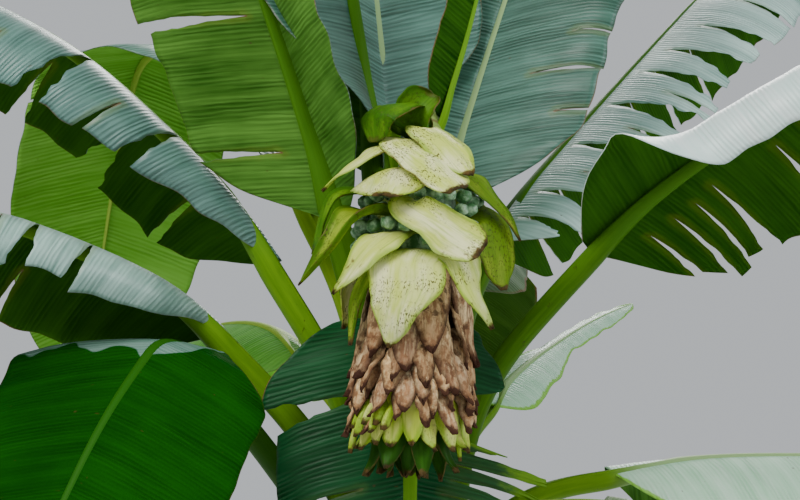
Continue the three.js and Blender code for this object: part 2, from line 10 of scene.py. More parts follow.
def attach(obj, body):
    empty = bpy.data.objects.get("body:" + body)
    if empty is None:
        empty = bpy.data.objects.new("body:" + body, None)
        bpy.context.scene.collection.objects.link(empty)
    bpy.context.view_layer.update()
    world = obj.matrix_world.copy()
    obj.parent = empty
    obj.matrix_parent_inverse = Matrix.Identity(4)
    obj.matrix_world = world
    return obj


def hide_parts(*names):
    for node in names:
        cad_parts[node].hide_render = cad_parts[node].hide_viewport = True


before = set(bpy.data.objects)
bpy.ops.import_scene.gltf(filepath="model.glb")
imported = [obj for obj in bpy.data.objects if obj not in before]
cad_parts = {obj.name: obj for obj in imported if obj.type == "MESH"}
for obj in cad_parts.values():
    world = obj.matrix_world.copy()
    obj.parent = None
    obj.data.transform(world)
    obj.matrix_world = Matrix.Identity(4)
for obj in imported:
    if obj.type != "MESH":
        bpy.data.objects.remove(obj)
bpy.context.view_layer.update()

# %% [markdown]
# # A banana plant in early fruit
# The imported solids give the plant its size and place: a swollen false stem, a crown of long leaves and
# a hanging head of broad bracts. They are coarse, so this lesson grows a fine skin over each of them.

MM = 0.001

# %% [markdown]
# ## The view
# The picture was taken from below the crown with a long lens, which makes near and far leaves almost
# the same size. A camera object with a 107 mm lens stands six metres from the head and looks up by
# eight degrees. Keeping depth of field off keeps every leaf sharp.

# %% Camera
CAMERA_DISTANCE = 6.2              # metres from the camera to the head
CAMERA_RISE = math.radians(8)
CAMERA_AIM = Vector((-0.02, -0.45, 3.10))
SENSOR_WIDTH = 36                  # millimetres
IMAGE_WIDTH = 800                  # pixels
PIXEL_AT_HEAD = 0.0026             # metres that one pixel spans at the head


def add_object(name, data):
    """Make an object and link it to the scene."""
    made = bpy.data.objects.new(name, data)
    bpy.context.scene.collection.objects.link(made)
    return made


camera_data = bpy.data.cameras.new("camera")
camera_data.sensor_width = SENSOR_WIDTH
camera_data.lens = SENSOR_WIDTH * CAMERA_DISTANCE / (IMAGE_WIDTH * PIXEL_AT_HEAD)
camera = add_object("camera", camera_data)
ahead = Vector((0, math.cos(CAMERA_RISE), math.sin(CAMERA_RISE)))
camera.location = CAMERA_AIM - ahead * CAMERA_DISTANCE
camera.rotation_euler = (math.radians(90) + CAMERA_RISE, 0, 0)
bpy.context.scene.camera = camera
print("lens:", round(camera_data.lens, 1), "mm, camera at", [round(v, 2) for v in camera.location])

# %% [markdown]
# ## A plain studio
# Leaves need light from all round, or their folds go black. A pale world gives the soft fill, a broad
# area light above gives the shine on the waxy upper sides, and a smaller one from behind lets light
# through the thin blades, as the sky does. The floor is a wide pale disc.

# %% Floor and lights
FLOOR_RADIUS, FLOOR_DROP = 40, 0.002       # metres; the floor lies a little below the stem's flat cut


def add_light(name, place, aim, size, power, colour):
    light = bpy.data.lights.new(name, "AREA")
    light.shape, light.size, light.energy, light.color = "DISK", size, power, colour
    lamp = add_object(name, light)
    lamp.location = place
    lamp.rotation_euler = (Vector(aim) - Vector(place)).to_track_quat("-Z", "Y").to_euler()


floor_mesh = bpy.data.meshes.new("floor")
shape = bmesh.new()
bmesh.ops.create_circle(shape, cap_ends=True, segments=128, radius=FLOOR_RADIUS)
shape.to_mesh(floor_mesh)
shape.free()
floor = add_object("floor", floor_mesh)
floor.location.z = -FLOOR_DROP
floor_finish = bpy.data.materials.new("floor_finish")
floor_finish.use_nodes = True
floor_skin = floor_finish.node_tree.nodes["Principled BSDF"]
floor_skin.inputs["Base Color"].default_value = (0.72, 0.72, 0.70, 1)
floor_skin.inputs["Roughness"].default_value = 0.9
floor_mesh.materials.append(floor_finish)

world = bpy.data.worlds.new("pale_studio")
bpy.context.scene.world = world
world.use_nodes = True
fill = world.node_tree.nodes["Background"]
fill.inputs["Color"].default_value = (0.86, 0.90, 0.94, 1)
fill.inputs["Strength"].default_value = 0.62
add_light("key", (-3.5, -5.5, 8.5), (0, -0.2, 3.0), 4.5, 620, (1.0, 0.98, 0.94))
add_light("side", (5.5, -3.5, 5.5), (0, 0, 3.0), 3.5, 200, (0.93, 0.97, 1.0))
add_light("back", (1.0, 6.5, 8.0), (0, 0, 3.2), 4.0, 420, (1.0, 1.0, 0.96))
print("studio ready")

# %% [markdown]
# ## Shader maths in plain Python
# A plant's colours come from mixing masks: stripes, specks, dry edges. Each mask is a chain of Math
# nodes, which is slow to wire by hand. A small class wraps a node's output, so `1 - mask * 0.5` adds the
# nodes by itself. Colours go through Mix nodes, since a Math node would turn them grey.

# %% A socket that does sums
class Tone:
    """One value that changes over a surface."""

    def __init__(self, finish, socket):
        self.finish, self.socket = finish, socket

    def sum_node(self, operation, *values):
        node = self.finish.tree.nodes.new("ShaderNodeMath")
        node.operation = operation
        for socket, value in zip(node.inputs, values):
            self.finish.feed(socket, value)
        return Tone(self.finish, node.outputs[0])

    def __add__(self, other): return self.sum_node("ADD", self, other)
    def __sub__(self, other): return self.sum_node("SUBTRACT", self, other)
    def __rsub__(self, other): return self.sum_node("SUBTRACT", other, self)
    def __mul__(self, other): return self.sum_node("MULTIPLY", self, other)
    def __radd__(self, other): return self + other
    def __rmul__(self, other): return self * other
    def sine(self): return self.sum_node("SINE", self)
    def up_to(self, other): return self.sum_node("MINIMUM", self, other)
    def at_least(self, other): return self.sum_node("MAXIMUM", self, other)
    def clamped(self): return self.up_to(1.0).at_least(0.0)

    def between(self, low, high):
        """0 below low, 1 above high, smooth between."""
        return self.finish.node("ShaderNodeMapRange", {"interpolation_type": "SMOOTHSTEP", "clamp": True},
                                Value=self, From_Min=low, From_Max=high)


class Finish:
    """A material that is built up from masks and colours."""

    def __init__(self, name):
        self.material = bpy.data.materials.new(name)
        self.material.use_nodes = True
        self.tree = self.material.node_tree
        self.skin = self.tree.nodes["Principled BSDF"]
        self.out = self.tree.nodes["Material Output"]

    def feed(self, socket, value):
        """Link a tone to a socket, or keep a plain number or colour in it."""
        if isinstance(value, Tone):
            self.tree.links.new(value.socket, socket)
        else:
            socket.default_value = (*value, 1.0) if socket.type == "RGBA" else value

    def node(self, kind, settings=None, output=0, **sockets):
        node = self.tree.nodes.new(kind)
        for key, value in (settings or {}).items():
            setattr(node, key, value)
        for key, value in sockets.items():
            self.feed(node.inputs[key.replace("_", " ")], value)
        return Tone(self, node.outputs[output])

    def place(self):
        return self.node("ShaderNodeTexCoord", output="Object")

    def stretched(self, scale):
        return self.node("ShaderNodeMapping", Vector=self.place(), Scale=scale)

    def along(self, layer):
        """The two numbers of one of the piece's maps, such as across and along."""
        uv = self.node("ShaderNodeUVMap", {"uv_map": layer})
        parts = self.node("ShaderNodeSeparateXYZ", Vector=uv).socket.node
        return Tone(self, parts.outputs[0]), Tone(self, parts.outputs[1])

    def map_point(self, across, along):
        return self.node("ShaderNodeCombineXYZ", X=across, Y=along, Z=0.0)

    def cloud(self, vector, scale, detail=3.0, rough=0.55):
        return self.node("ShaderNodeTexNoise", Vector=vector, Scale=scale, Detail=detail, Roughness=rough)

    def mix(self, factor, first, second):
        node = self.tree.nodes.new("ShaderNodeMix")
        node.data_type = "RGBA"
        for number, value in ((0, factor), (6, first), (7, second)):
            self.feed(node.inputs[number], value)
        return Tone(self, node.outputs[2])

    def wear(self, colour, rough, bump, height, coat=0.0, glow=None, share=0.0, shine=0.5, bloom=0.0):
        """Give the skin its colour, roughness and relief, and let light through by a share."""
        relief = self.node("ShaderNodeBump", Height=bump, Strength=1.0, Distance=height)
        for key, value in {"Base Color": colour, "Roughness": rough, "Normal": relief, "Coat Weight": coat,
                           "Coat Roughness": 0.3, "Specular IOR Level": shine, "Sheen Weight": bloom,
                           "Sheen Roughness": 0.45}.items():
            self.feed(self.skin.inputs[key], value)
        if glow:
            through = self.node("ShaderNodeBsdfTranslucent", Color=glow)
            blend = self.tree.nodes.new("ShaderNodeMixShader")
            blend.inputs[0].default_value = share
            self.tree.links.new(self.skin.outputs[0], blend.inputs[1])
            self.tree.links.new(through.socket, blend.inputs[2])
            self.tree.links.new(blend.outputs[0], self.out.inputs["Surface"])
        return self.material

# %% [markdown]
# ## Moving a grid into shape
# Blades, stalks, bracts and sheaths are all sheets that bend, so one helper serves them all. It starts
# from a flat grid and moves each corner by a rule of two shares, across and along. More rules fill the
# sheet's maps, which tell the finishes where they are. Sculpting by hand would look as good, but a rule
# keeps the pieces on the solids.

# %% Grid helper
def eased(table, s):
    """Smooth change between the (place, value) pairs of a short table."""
    if not isinstance(table, (list, tuple)):
        return table
    if s <= table[0][0]:
        return table[0][1]
    for (a, low), (b, high) in zip(table, table[1:]):
        if s <= b:
            u = (s - a) / (b - a)
            return low + (high - low) * u * u * (3 - 2 * u)
    return table[-1][1]


def step(low, high, value):
    u = min(max((value - low) / (high - low), 0.0), 1.0)
    return u * u * (3 - 2 * u)


def heading(turn, rise=0.0):
    a, e = math.radians(turn), math.radians(rise)
    return Vector((math.cos(e) * math.cos(a), math.cos(e) * math.sin(a), math.sin(e)))


def add_sheet(shape, across, along, rule, **maps):
    """Add a grid of across by along cells and give its faces. The rule takes a corner's two shares and
    gives its place; each map's rule takes them and gives the two numbers that the map keeps."""
    layers = {name: shape.loops.layers.uv.get(name) or shape.loops.layers.uv.new(name) for name in maps}
    made = bmesh.ops.create_grid(shape, x_segments=across, y_segments=along, size=0.5)
    shares = {}
    for corner in made["verts"]:
        shares[corner] = corner.co.x + 0.5, corner.co.y + 0.5
        corner.co = rule(*shares[corner])
    faces = {face for corner in made["verts"] for face in corner.link_faces}
    for face in faces:
        face.smooth = True
        for loop in face.loops:
            for name, map_rule in maps.items():
                loop[layers[name]].uv = map_rule(*shares[loop.vert])
    return faces


def finish_piece(name, shape, materials, nodes, merge=1e-5, thick=0.0, rounds=0, under=0, outward=True):
    """Turn a bmesh into a named piece that stands for its nodes."""
    bmesh.ops.remove_doubles(shape, verts=shape.verts[:], dist=merge)
    if outward:
        bmesh.ops.recalc_face_normals(shape, faces=shape.faces[:])
    mesh = bpy.data.meshes.new(name)
    shape.to_mesh(mesh)
    shape.free()
    piece = add_object(name, mesh)
    for material in materials:
        mesh.materials.append(material)
    if rounds:
        smooth = piece.modifiers.new("round", "SUBSURF")
        smooth.levels = smooth.render_levels = rounds
    if thick:
        wall = piece.modifiers.new("thickness", "SOLIDIFY")
        wall.thickness, wall.offset = thick, 0.0
        wall.material_offset = under
    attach(piece, "root")
    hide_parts(*nodes)
    print(name, "-", len(mesh.polygons), "faces")
    return piece

# %% [markdown]
# ## The leaves
# Each leaf has a stalk, a rib that is the stalk's thin end, and a blade whose two halves fold and curl by
# their own amounts. They could be drawn as curves and lofted, but here a short table says how the rib
# rises and how far each half folds, curls and droops. These are the numbers that the solids were made
# from, so the fine leaves lie on the coarse ones. Lengths are in millimetres, angles in degrees.

# %% The table of leaves
LEAVES = {
    "leaf_01": dict(
        root=(-90, -20, 2460), turn=186, stalk=725, blade=2125, width=680, stout=1.15, looks="bluish",
        rise=[(0, 84), (0.2, 58), (0.45, 42), (0.62, 26), (1, -35)],
        left=dict(fold=-4, curl=-112, wide=[(0.02, 0.4), (0.1, 0.55), (0.2, 0.8), (0.3, 1)],
                  tears=[(0.205, 0.08, 60), (0.27, 0.5, 20), (0.355, 0.06, 100), (0.45, 0.6, 24),
                         (0.56, 0.3, 50)]),
        right=dict(fold=-28, curl=-50, droop=0.3,
                   tears=[(0.13, 0.3, 50), (0.26, 0.25, 90), (0.40, 0.3, 60), (0.6, 0.4, 40)])),
    "leaf_02": dict(
        root=(-100, -60, 2400), turn=198, stalk=665, blade=1905, width=660, stout=1.1, looks="soft_wax_and_painted_sheen",
        rise=[(0, 62), (0.2, 45), (0.42, 20), (0.6, 6), (1, -50)],
        left=dict(fold=6, curl=-118, wide=[(0.02, 0.5), (0.12, 0.66), (0.25, 0.85), (0.4, 1)],
                  tears=[(0.22, 0.2, 40), (0.30, 0.15, 60), (0.35, 0.3, 40), (0.40, 0.2, 50),
                         (0.47, 0.2, 60), (0.62, 0.45, 30)]),
        right=dict(fold=-32, curl=-55, droop=0.3, tears=[(0.5, 0.3, 40), (0.28, 0.5, 30)])),
    "leaf_03": dict(
        root=(-60, -70, 2700), turn=222, stalk=550, blade=1950, width=740, looks="lit",
        rise=[(0, 78), (0.25, 66), (0.6, 62), (1, 10)],
        left=dict(fold=-25, curl=-20),
        right=dict(fold=-38, curl=-30, tears=[(0.10, 0.3, 36), (0.3, 0.2, 44), (0.5, 0.5, 24)])),
    "leaf_04": dict(
        root=(-30, -60, 2860), turn=236, stalk=500, blade=1800, width=620, looks="lit",
        rise=[(0, 86), (0.25, 75), (0.6, 72), (1, 30)],
        left=dict(fold=[(0, -40), (0.3, -100), (1, -125)], curl=[(0, -60), (0.3, -130), (1, -150)]),
        right=dict(fold=-20, curl=-10)),
    "leaf_05": dict(
        root=(-20, 70, 2860), turn=114, stalk=720, blade=1800, width=660, looks="plain",
        rise=[(0, 88), (0.3, 77), (0.6, 74), (1, 40)],
        left=dict(fold=20),
        right=dict(fold=10)),
    "leaf_06": dict(
        root=(50, 70, 2880), turn=52, stalk=420, blade=1950, width=780, looks="plain",
        rise=[(0, 88), (0.25, 64), (0.6, 62), (1, 25)],
        left=dict(fold=15, tears=[(0.48, 0.5, 20)]),
        right=dict(fold=-4, curl=-16, droop=0.1,
                   tears=[(0.14, 0.75, 10), (0.22, 0.45, 24), (0.29, 0.7, 12), (0.44, 0.5, 26)])),
    "leaf_07": dict(
        root=(90, 50, 2720), turn=50, stalk=560, blade=2100, width=700, looks="waxy",
        rise=[(0, 82), (0.22, 46), (0.36, 39), (0.7, 38), (1, 6)],
        left=dict(fold=-78, curl=-88, droop=0.3,
                  tears=[(0.10, 0.2, 40), (0.19, 0.15, 50), (0.27, 0.15, 46), (0.35, 0.15, 60),
                         (0.43, 0.2, 44), (0.52, 0.2, 60), (0.63, 0.3, 40)]),
        right=dict(fold=-8, curl=-48, droop=0.3,
                   tears=[(0.05, 0.2, 70), (0.11, 0.15, 100), (0.165, 0.4, 60), (0.235, 0.12, 130),
                          (0.29, 0.45, 50), (0.35, 0.12, 140), (0.40, 0.5, 40), (0.45, 0.15, 120),
                          (0.52, 0.2, 110), (0.60, 0.3, 80), (0.7, 0.4, 50)])),
    "leaf_08": dict(
        root=(100, -50, 2420), turn=333, stalk=860, blade=2050, width=720, stout=0.85, looks="wax_and_painted_sky_glare",
        rise=[(0, 82), (0.22, 44), (0.5, 26), (0.7, 14), (1, -30)],
        left=dict(fold=-44, curl=-60, droop=0.3,
                  tears=[(0.06, 0.35, 26), (0.10, 0.3, 30), (0.135, 0.3, 30), (0.17, 0.25, 36),
                         (0.27, 0.25, 40), (0.32, 0.2, 46), (0.365, 0.2, 40), (0.42, 0.25, 50),
                         (0.5, 0.3, 40), (0.6, 0.4, 30)]),
        right=dict(fold=[(0, 28), (0.12, 38), (0.22, 32), (1, 24)],
                   curl=[(0, 10), (0.10, -20), (0.2, -112), (1, -120)],
                   wide=[(0.1, 1), (0.24, 0.95), (1, 0.9)])),
    "leaf_09": dict(
        root=(0, -100, 2330), turn=269, stalk=600, blade=1700, width=800, looks="broken",
        rise=[(0, 90), (0.22, 89), (0.32, -72), (0.4, -87), (1, -89)],
        roll=[(0, 0), (0.3, 10), (1, 10)], rib=[(0, 1), (0.1, 2.0), (0.6, 2.4)],
        left=dict(fold=-6, curl=-16,
                  wide=[(0.02, 1), (0.06, 0.7), (0.12, 0.68), (0.16, 0.3), (0.21, 0.3), (0.24, 1)],
                  tears=[(0.235, 0.3, 30), (0.26, 0.25, 16), (0.285, 0.3, 36), (0.31, 0.25, 18),
                         (0.34, 0.3, 30), (0.42, 0.3, 46), (0.52, 0.4, 34), (0.64, 0.5, 26)]),
        right=dict(fold=18, curl=6, wide=[(0.3, 1), (0.4, 1.4), (1, 1.3)],
                   tears=[(0.155, 0.15, 60), (0.30, 0.3, 30), (0.345, 0.2, 44), (0.40, 0.3, 36),
                          (0.47, 0.3, 44), (0.56, 0.5, 24)])),
    "leaf_10": dict(
        root=(84, 56, 2440), turn=61, stalk=450, blade=1150, width=320, stout=0.75, looks="young",
        rise=[(0, 66), (0.25, 30), (0.6, 20), (1, 14)],
        left=dict(fold=4, wide=[(0.05, 0.7), (0.2, 0.55), (0.4, 0.2), (1, 0.2)]),
        right=dict(fold=-30, curl=-66, wide=[(0, 0.85), (0.25, 0.7), (0.5, 0.34), (1, 0.34)])),
    "leaf_11": dict(
        root=(-64, 48, 2700), turn=160, stalk=620, blade=2000, width=720, looks="clear",
        rise=[(0, 80), (0.25, 60), (0.45, 43), (0.56, 0), (0.66, -62), (1, -74)],
        swing=[(0.35, 0), (0.6, -40), (1, -48)],
        left=dict(fold=-5, curl=-16, wide=[(0.28, 0.5), (0.42, 0.9), (0.5, 1)], tears=[(0.52, 0.5, 24)]),
        right=dict(fold=0, curl=-10, wide=[(0.28, 0.5), (0.42, 0.9), (0.5, 1)],
                   tears=[(0.4, 0.5, 30), (0.64, 0.5, 26)])),
    "leaf_12": dict(
        root=(20, 110, 2500), turn=84, stalk=700, blade=1950, width=700, looks="old",
        rise=[(0, 80), (0.22, 48), (0.5, 20), (0.75, -25), (1, -60)],
        left=dict(fold=-15, curl=-40, droop=0.3, tears=[(0.3, 0.2, 44), (0.5, 0.5, 24)]),
        right=dict(fold=-15, curl=-40, droop=0.3, tears=[(0.62, 0.2, 44), (0.4, 0.5, 24)])),
    "leaf_13": dict(
        root=(-40, 92, 2380), turn=124, stalk=700, blade=1900, width=660, looks="lime",
        rise=[(0, 74), (0.22, 34), (0.5, 0), (0.75, -45), (1, -75)],
        left=dict(fold=-25, curl=-50, droop=0.5, tears=[(0.4, 0.4, 30), (0.66, 0.5, 24)]),
        right=dict(fold=-25, curl=-50, droop=0.5, tears=[(0.55, 0.2, 44), (0.34, 0.5, 24)])),
    "leaf_14": dict(
        root=(-100, -5, 2240), turn=200, stalk=740, blade=1720, width=720, looks="shaded",
        rise=[(0, 56), (0.15, 52), (0.30, 44), (0.36, 0), (0.42, -44), (0.6, -54), (1, -66)],
        swing=[(0.22, 0), (0.36, 38), (1, 44)],
        roll=[(0.27, 0), (0.42, -15), (1, -18)],
        left=dict(fold=-4, curl=-14, droop=0.1, tears=[(0.66, 0.6, 26)],
                  wide=[(0, 0.35), (0.06, 0.7), (0.13, 1.1), (0.3, 1.15), (1, 1.1)]),
        right=dict(fold=-4, curl=-14, droop=0.1, wide=[(0.1, 1.2), (0.3, 1.1), (1, 1.1)])),
    "leaf_15": dict(
        root=(110, -50, 2260), turn=318, stalk=620, blade=1750, width=620, looks="old",
        rise=[(0, 52), (0.2, 0), (0.4, -32), (0.7, -64), (1, -82)],
        left=dict(fold=-20, curl=-45, droop=0.5, tears=[(0.3, 0.4, 30), (0.6, 0.5, 24)]),
        right=dict(fold=-25, curl=-45, droop=0.6, tears=[(0.55, 0.2, 44), (0.36, 0.5, 24)])),
    # This old leaf wears the young look; its pale upper side is painted light.
    "leaf_16": dict(
        root=(120, 30, 2320), turn=10, stalk=520, blade=1940, width=640, looks="young",
        rise=[(0, 50), (0.2, 8), (0.45, 0), (0.7, -34), (1, -75)],
        left=dict(fold=-20, curl=-45, droop=0.5, tears=[(0.5, 0.2, 44), (0.34, 0.5, 24)]),
        right=dict(fold=-25, curl=-45, droop=0.6, tears=[(0.42, 0.4, 30), (0.66, 0.5, 24)])),
    "flag_leaf": dict(
        root=(64, -392, 3405), turn=352, stalk=60, blade=860, width=200, stout=0.35,
        rise=[(0, 70), (0.5, 76), (1, 60)],
        left=dict(fold=50),
        right=dict(fold=40)),
}
print("leaves:", len(LEAVES))

# %% [markdown]
# ## The line of a leaf
# A banana leaf bends in one plane, under its own weight. Its line is walked in short steps from the root,
# turning by the table at each step, and every step keeps its forward, side and upper directions. A
# Bezier curve would need handles for each leaf; walking needs only angles, which are easy to read
# off a plant.

# %% Walking along a leaf
STEPS = 80
STALK_RADIUS, STALK_DEPTH = 43 * MM, 41 * MM


def leaf_line(leaf):
    stride = (leaf["stalk"] + leaf["blade"]) * MM / STEPS
    place = Vector(leaf["root"]) * MM
    line = []
    for i in range(STEPS + 1):
        share = i / STEPS
        turn = leaf["turn"] + eased(leaf.get("swing", 0), share)
        forward = heading(turn, eased(leaf["rise"], share))
        side = heading(turn + 90)
        upper = forward.cross(side)
        roll = math.radians(eased(leaf.get("roll", 0), share))
        line.append((place.copy(), forward, side * math.cos(roll) + upper * math.sin(roll),
                     upper * math.cos(roll) - side * math.sin(roll)))
        place += forward * stride
    return line, stride


def on_line(line, stride, s):
    """Place, forward, side and upper at a distance along a leaf."""
    i = max(0, min(int(s / stride), STEPS - 1))
    u = s / stride - i
    a, b = line[i], line[i + 1]
    if u > 1:
        return a[0] + a[1] * (s - i * stride), b[1], b[2], b[3]
    before, after = line[max(i - 1, 0)][0], line[min(i + 2, STEPS)][0]
    place = 0.5 * (2 * a[0] + (b[0] - before) * u + (2 * before - 5 * a[0] + 4 * b[0] - after) * u * u
                   + (3 * a[0] - before - 3 * b[0] + after) * u ** 3)
    return place, *(a[k].lerp(b[k], u).normalized() for k in (1, 2, 3))


def leaf_outline(t):
    """Share of the full half width at share t of the blade's length."""
    t = min(max(t, 0.0), 1.0)
    foot = 1 - (1 - min(t / 0.14, 1)) ** 2.4
    tip = 1 - (max(t - 0.55, 0) / 0.45) ** 2.6
    return (0.12 + 0.88 * foot) * max(tip, 0) ** 0.62


longest = max(LEAVES, key=lambda name: LEAVES[name]["blade"])
print("longest blade:", longest, LEAVES[longest]["blade"], "mm")

# %% [markdown]
# ## Torn halves
# Wind tears a blade along its side veins, from the margin towards the rib, and each strip then hangs in
# its own way. Every strip is its own grid whose rows follow the side veins. Near the rib two strips
# share the same corners, which merge; past the start of the tear they part and take their own curl.
# Cutting one big grid with a knife would leave ragged triangles along the tears.

# %% Strips of one half of a blade
VEIN_ANGLE, TIP_LEAN = 14, 50                  # degrees that side veins lean forward, and more at the tip
COLUMNS = 20
ROW_SPACING = 15 * MM
SWELL, WAVE, PLEAT = 0.016, 0.0036, 0.0011     # heights of the relief in metres
WAVE_RATE, PLEAT_RATE = 48, 140                # radians to a metre of blade
FULL_HALF_WIDTH = 0.34                         # metres; a narrower blade has lower waves
FAR = 0.3                                      # kept in a map where no tear or edge is near


def vein(leaf, half, line, stride, sign, t, hang, loose, short):
    """Points from the rib to the margin along the side vein that starts at share t."""
    blade, stalk = leaf["blade"] * MM, leaf["stalk"] * MM
    place, forward, side, upper = on_line(line, stride, stalk + t * blade)
    share = leaf_outline(t)
    ragged = 1 + 0.016 * noise.noise(Vector((t * 34, sign * 5.0, leaf["turn"]))) if share > 0.2 else 1
    width = leaf["width"] / 2 * MM * share * ragged * eased(half.get("wide", 1), t)
    fold = eased(half["fold"], t)
    curl = eased(half.get("curl", half["fold"]), t)
    droop = eased(half.get("droop", 0), t)
    lean = math.radians(VEIN_ANGLE + TIP_LEAN * max(t - 0.75, 0))
    points = [place.copy()]
    for j in range(COLUMNS):
        u = (j + 0.5) / COLUMNS
        free = step(loose, 1.0, u) if loose < 1 else 0.0
        angle = math.radians(fold + (curl - fold) * u ** 1.3 + hang * free)
        out = side * (sign * math.cos(angle)) + upper * math.sin(angle)
        way = out * math.cos(lean) + forward * math.sin(lean)
        way.z -= (droop * u + abs(hang) * 0.012 * free) * share
        place = place + way.normalized() * (width / COLUMNS * (1 - short * free))
        points.append(place)
    return points


def blade_half(shape, leaf, half, line, stride, sign, seed):
    """Add one half of a blade, strip by strip, with its two maps."""
    dice = random.Random(seed)
    stalk, blade, half_width = leaf["stalk"] * MM, leaf["blade"] * MM, leaf["width"] / 2 * MM
    tears = sorted(half.get("tears", []))
    cuts = [(0.0, 1.0, 0.0), *tears, (1.0, 1.0, 0.0)]
    phase = dice.uniform(0, 6)
    for (start, deep_a, gap_a), (end, deep_b, gap_b) in zip(cuts, cuts[1:]):
        rows = max(3, round((end - start) * blade / ROW_SPACING))
        loose = max(deep_a, deep_b) if start > 0 and end < 1 else min(deep_a, deep_b)
        hang = dice.uniform(-26, 10) if tears else 0.0
        if start == 0 or end == 1:
            loose = 1.0 if not tears else max(0.6, loose)
            hang *= 0.4
        short = dice.uniform(0, 0.35) if loose < 0.6 else 0.0
        veins = [vein(leaf, half, line, stride, sign, start + (end - start) * k / rows, hang, loose, short)
                 for k in range(rows + 1)]
        marks = {}

        def strip_rule(across, along):
            column, row = round(across * COLUMNS), round(along * rows)
            u = column / COLUMNS
            ragged = 1 + 0.5 * noise.noise(Vector((u * 9, start * 40, seed)))
            open_a, open_b = (gap * MM / 2 / blade * max(0.0, (u - deep) / (1.001 - deep)) * ragged
                              for gap, deep in ((gap_a, deep_a), (gap_b, deep_b)))
            spot = (open_a + (end - start - open_a - open_b) * row / rows) / (end - start) * rows
            k = min(int(spot), rows - 1)
            place = veins[k][column].lerp(veins[k + 1][column], spot - k)
            t = start + (end - start) * spot / rows
            outline = leaf_outline(t)
            upper = on_line(line, stride, stalk + t * blade)[3]
            swell = noise.noise(Vector((t * 13, u * 1.6, seed + phase))) * SWELL
            wave = math.sin(t * blade * WAVE_RATE + phase + 2 * noise.noise(Vector((t * 6, 0, seed)))) * WAVE
            pleat = math.sin(t * blade * PLEAT_RATE + phase) * PLEAT
            size = min(half_width / FULL_HALF_WIDTH, 1.2) * step(0, 0.1, outline)
            to_tears = [math.hypot(share * (end - start) * blade, max(0, deep - u) * half_width)
                        for there, share, deep in ((start > 0, spot / rows, deep_a),
                                                   (end < 1, 1 - spot / rows, deep_b)) if there]
            marks[across, along] = ((sign * u * half_width * max(outline, 0.3), t * blade),
                                    ((1 - u) * half_width * outline, min([*to_tears, FAR])))
            return place + upper * ((swell + wave) * u * u + pleat * u * (1.2 - u)) * size

        faces = add_sheet(shape, COLUMNS, rows, strip_rule,
                          grain=lambda across, along: marks[across, along][0],
                          edge=lambda across, along: marks[across, along][1])
        if sign > 0:
            bmesh.ops.reverse_faces(shape, faces=list(faces))


print("columns from rib to margin:", COLUMNS)

# %% [markdown]
# ## Leaf skins
# A banana leaf is bluish grey-green above, from a thin wax, and deep green below. Fine pleats run along
# the side veins, each with a painted highlight and shade in the colour, and torn edges dry to brown. The two
# maps of each blade carry all of it: one counts metres from the rib and along it, the other tells how far
# the margin and the nearest tear are. A painted image would blur at this size, and procedural stripes stay
# sharp.

# %% Materials of the blades
PLEAT_SPACING = 0.0130             # metres from one fine pleat to the next


def blade_finish(name, deep, lit, glow, rough, coat=0.0, dryness=0.8, share=0.16, shine=0.5, bloom=0.0,
                 pleat=0.20, relief_height=0.0026, crest=None, hem=None, ends=None):
    """One side of a blade. Deep and lit are its two greens, and glow is the light that comes through."""
    skin = Finish(name)
    across, along = skin.along("grain")
    margin, torn = skin.along("edge")
    warp = skin.cloud(skin.map_point(across * 5, along * 26), 1.0, 2.0)
    pleats = ((along + warp * 0.018) * (2 * math.pi / PLEAT_SPACING)).sine()
    strong = skin.cloud(skin.map_point(across * 3, along * 12), 1.0, 2.0).between(0.34, 0.66) * 0.8 + 0.2
    lines = skin.cloud(skin.map_point(across * 4, along * 300), 1.0, 2.0, 0.6)
    bands = skin.cloud(skin.map_point(across * 2.2, along * 26), 1.0, 3.0, 0.6)
    patches = skin.cloud(skin.place(), 2.4, 4.0, 0.6)
    # The pleats also go into the colour, weighted by pleat: painted highlight and shade along each fine
    # pleat.
    tone = (patches.between(0.3, 0.7) * 0.45 + bands.between(0.32, 0.70) * 0.40 + pleats * strong * pleat
            + lines * 0.30 - 0.12).clamped()
    colour = skin.mix(tone, deep, lit)
    if crest:                              # the bend of an arching leaf catches the sky
        waves = skin.cloud(skin.map_point(across * 11, along), 1.0, 1.0, 0.4)
        slant = across.at_least(0.0) - across.up_to(0.0) * 0.2
        bend = 1 - (along + waves * 0.16 + slant).between(0.365, 0.372)
        colour = skin.mix(bend, colour, skin.mix(tone, crest, (0.30, 0.46, 0.40)))
    fray = skin.cloud(skin.map_point(across * 30, along * 60), 1.0, 4.0, 0.65)
    worn = skin.cloud(skin.place(), 3.5, 2.0).between(0.46, 0.62) * 0.75 + 0.25 * min(dryness, 1)
    dry = (1 - (margin - fray * 0.007 * dryness + 0.001).between(0.0, 0.0022 * dryness)) * worn
    burnt = (1 - (torn - fray * 0.014 * dryness + 0.003).between(0.0, 0.004 * dryness)) * worn
    faded = 1 - (torn - fray * 0.03 * dryness).between(0.0, 0.016)
    colour = skin.mix(faded * (0.10 if ends else 0.30), colour, (0.20, 0.26, 0.03))
    brown = skin.mix(fray, (0.07, 0.035, 0.012), (0.30, 0.19, 0.08))
    colour = skin.mix((dry + burnt).up_to(1.0), colour, brown)
    if hem:
        colour = skin.mix(1 - (margin - fray * 0.030).between(-0.002, 0.008), colour, hem)
    if ends:
        far_out = (across + fray * 0.14).between(0.31, 0.40) * along.between(0.30, 0.36)
        colour = skin.mix(far_out * 0.85, colour, ends)
    spots = skin.cloud(skin.map_point(across * 26, along * 60), 1.0, 2.0).between(0.71, 0.76)
    colour = skin.mix(spots * 0.6, colour, (0.09, 0.055, 0.02))
    relief = pleats * strong * 0.5 + lines * 0.34 + bands * 0.5
    roughness = skin.cloud(skin.place(), 9.0, 3.0) * 0.25 + (rough - 0.12) + dry * 0.2
    return skin.wear(colour, roughness, relief, relief_height, coat, glow, share, shine, bloom)


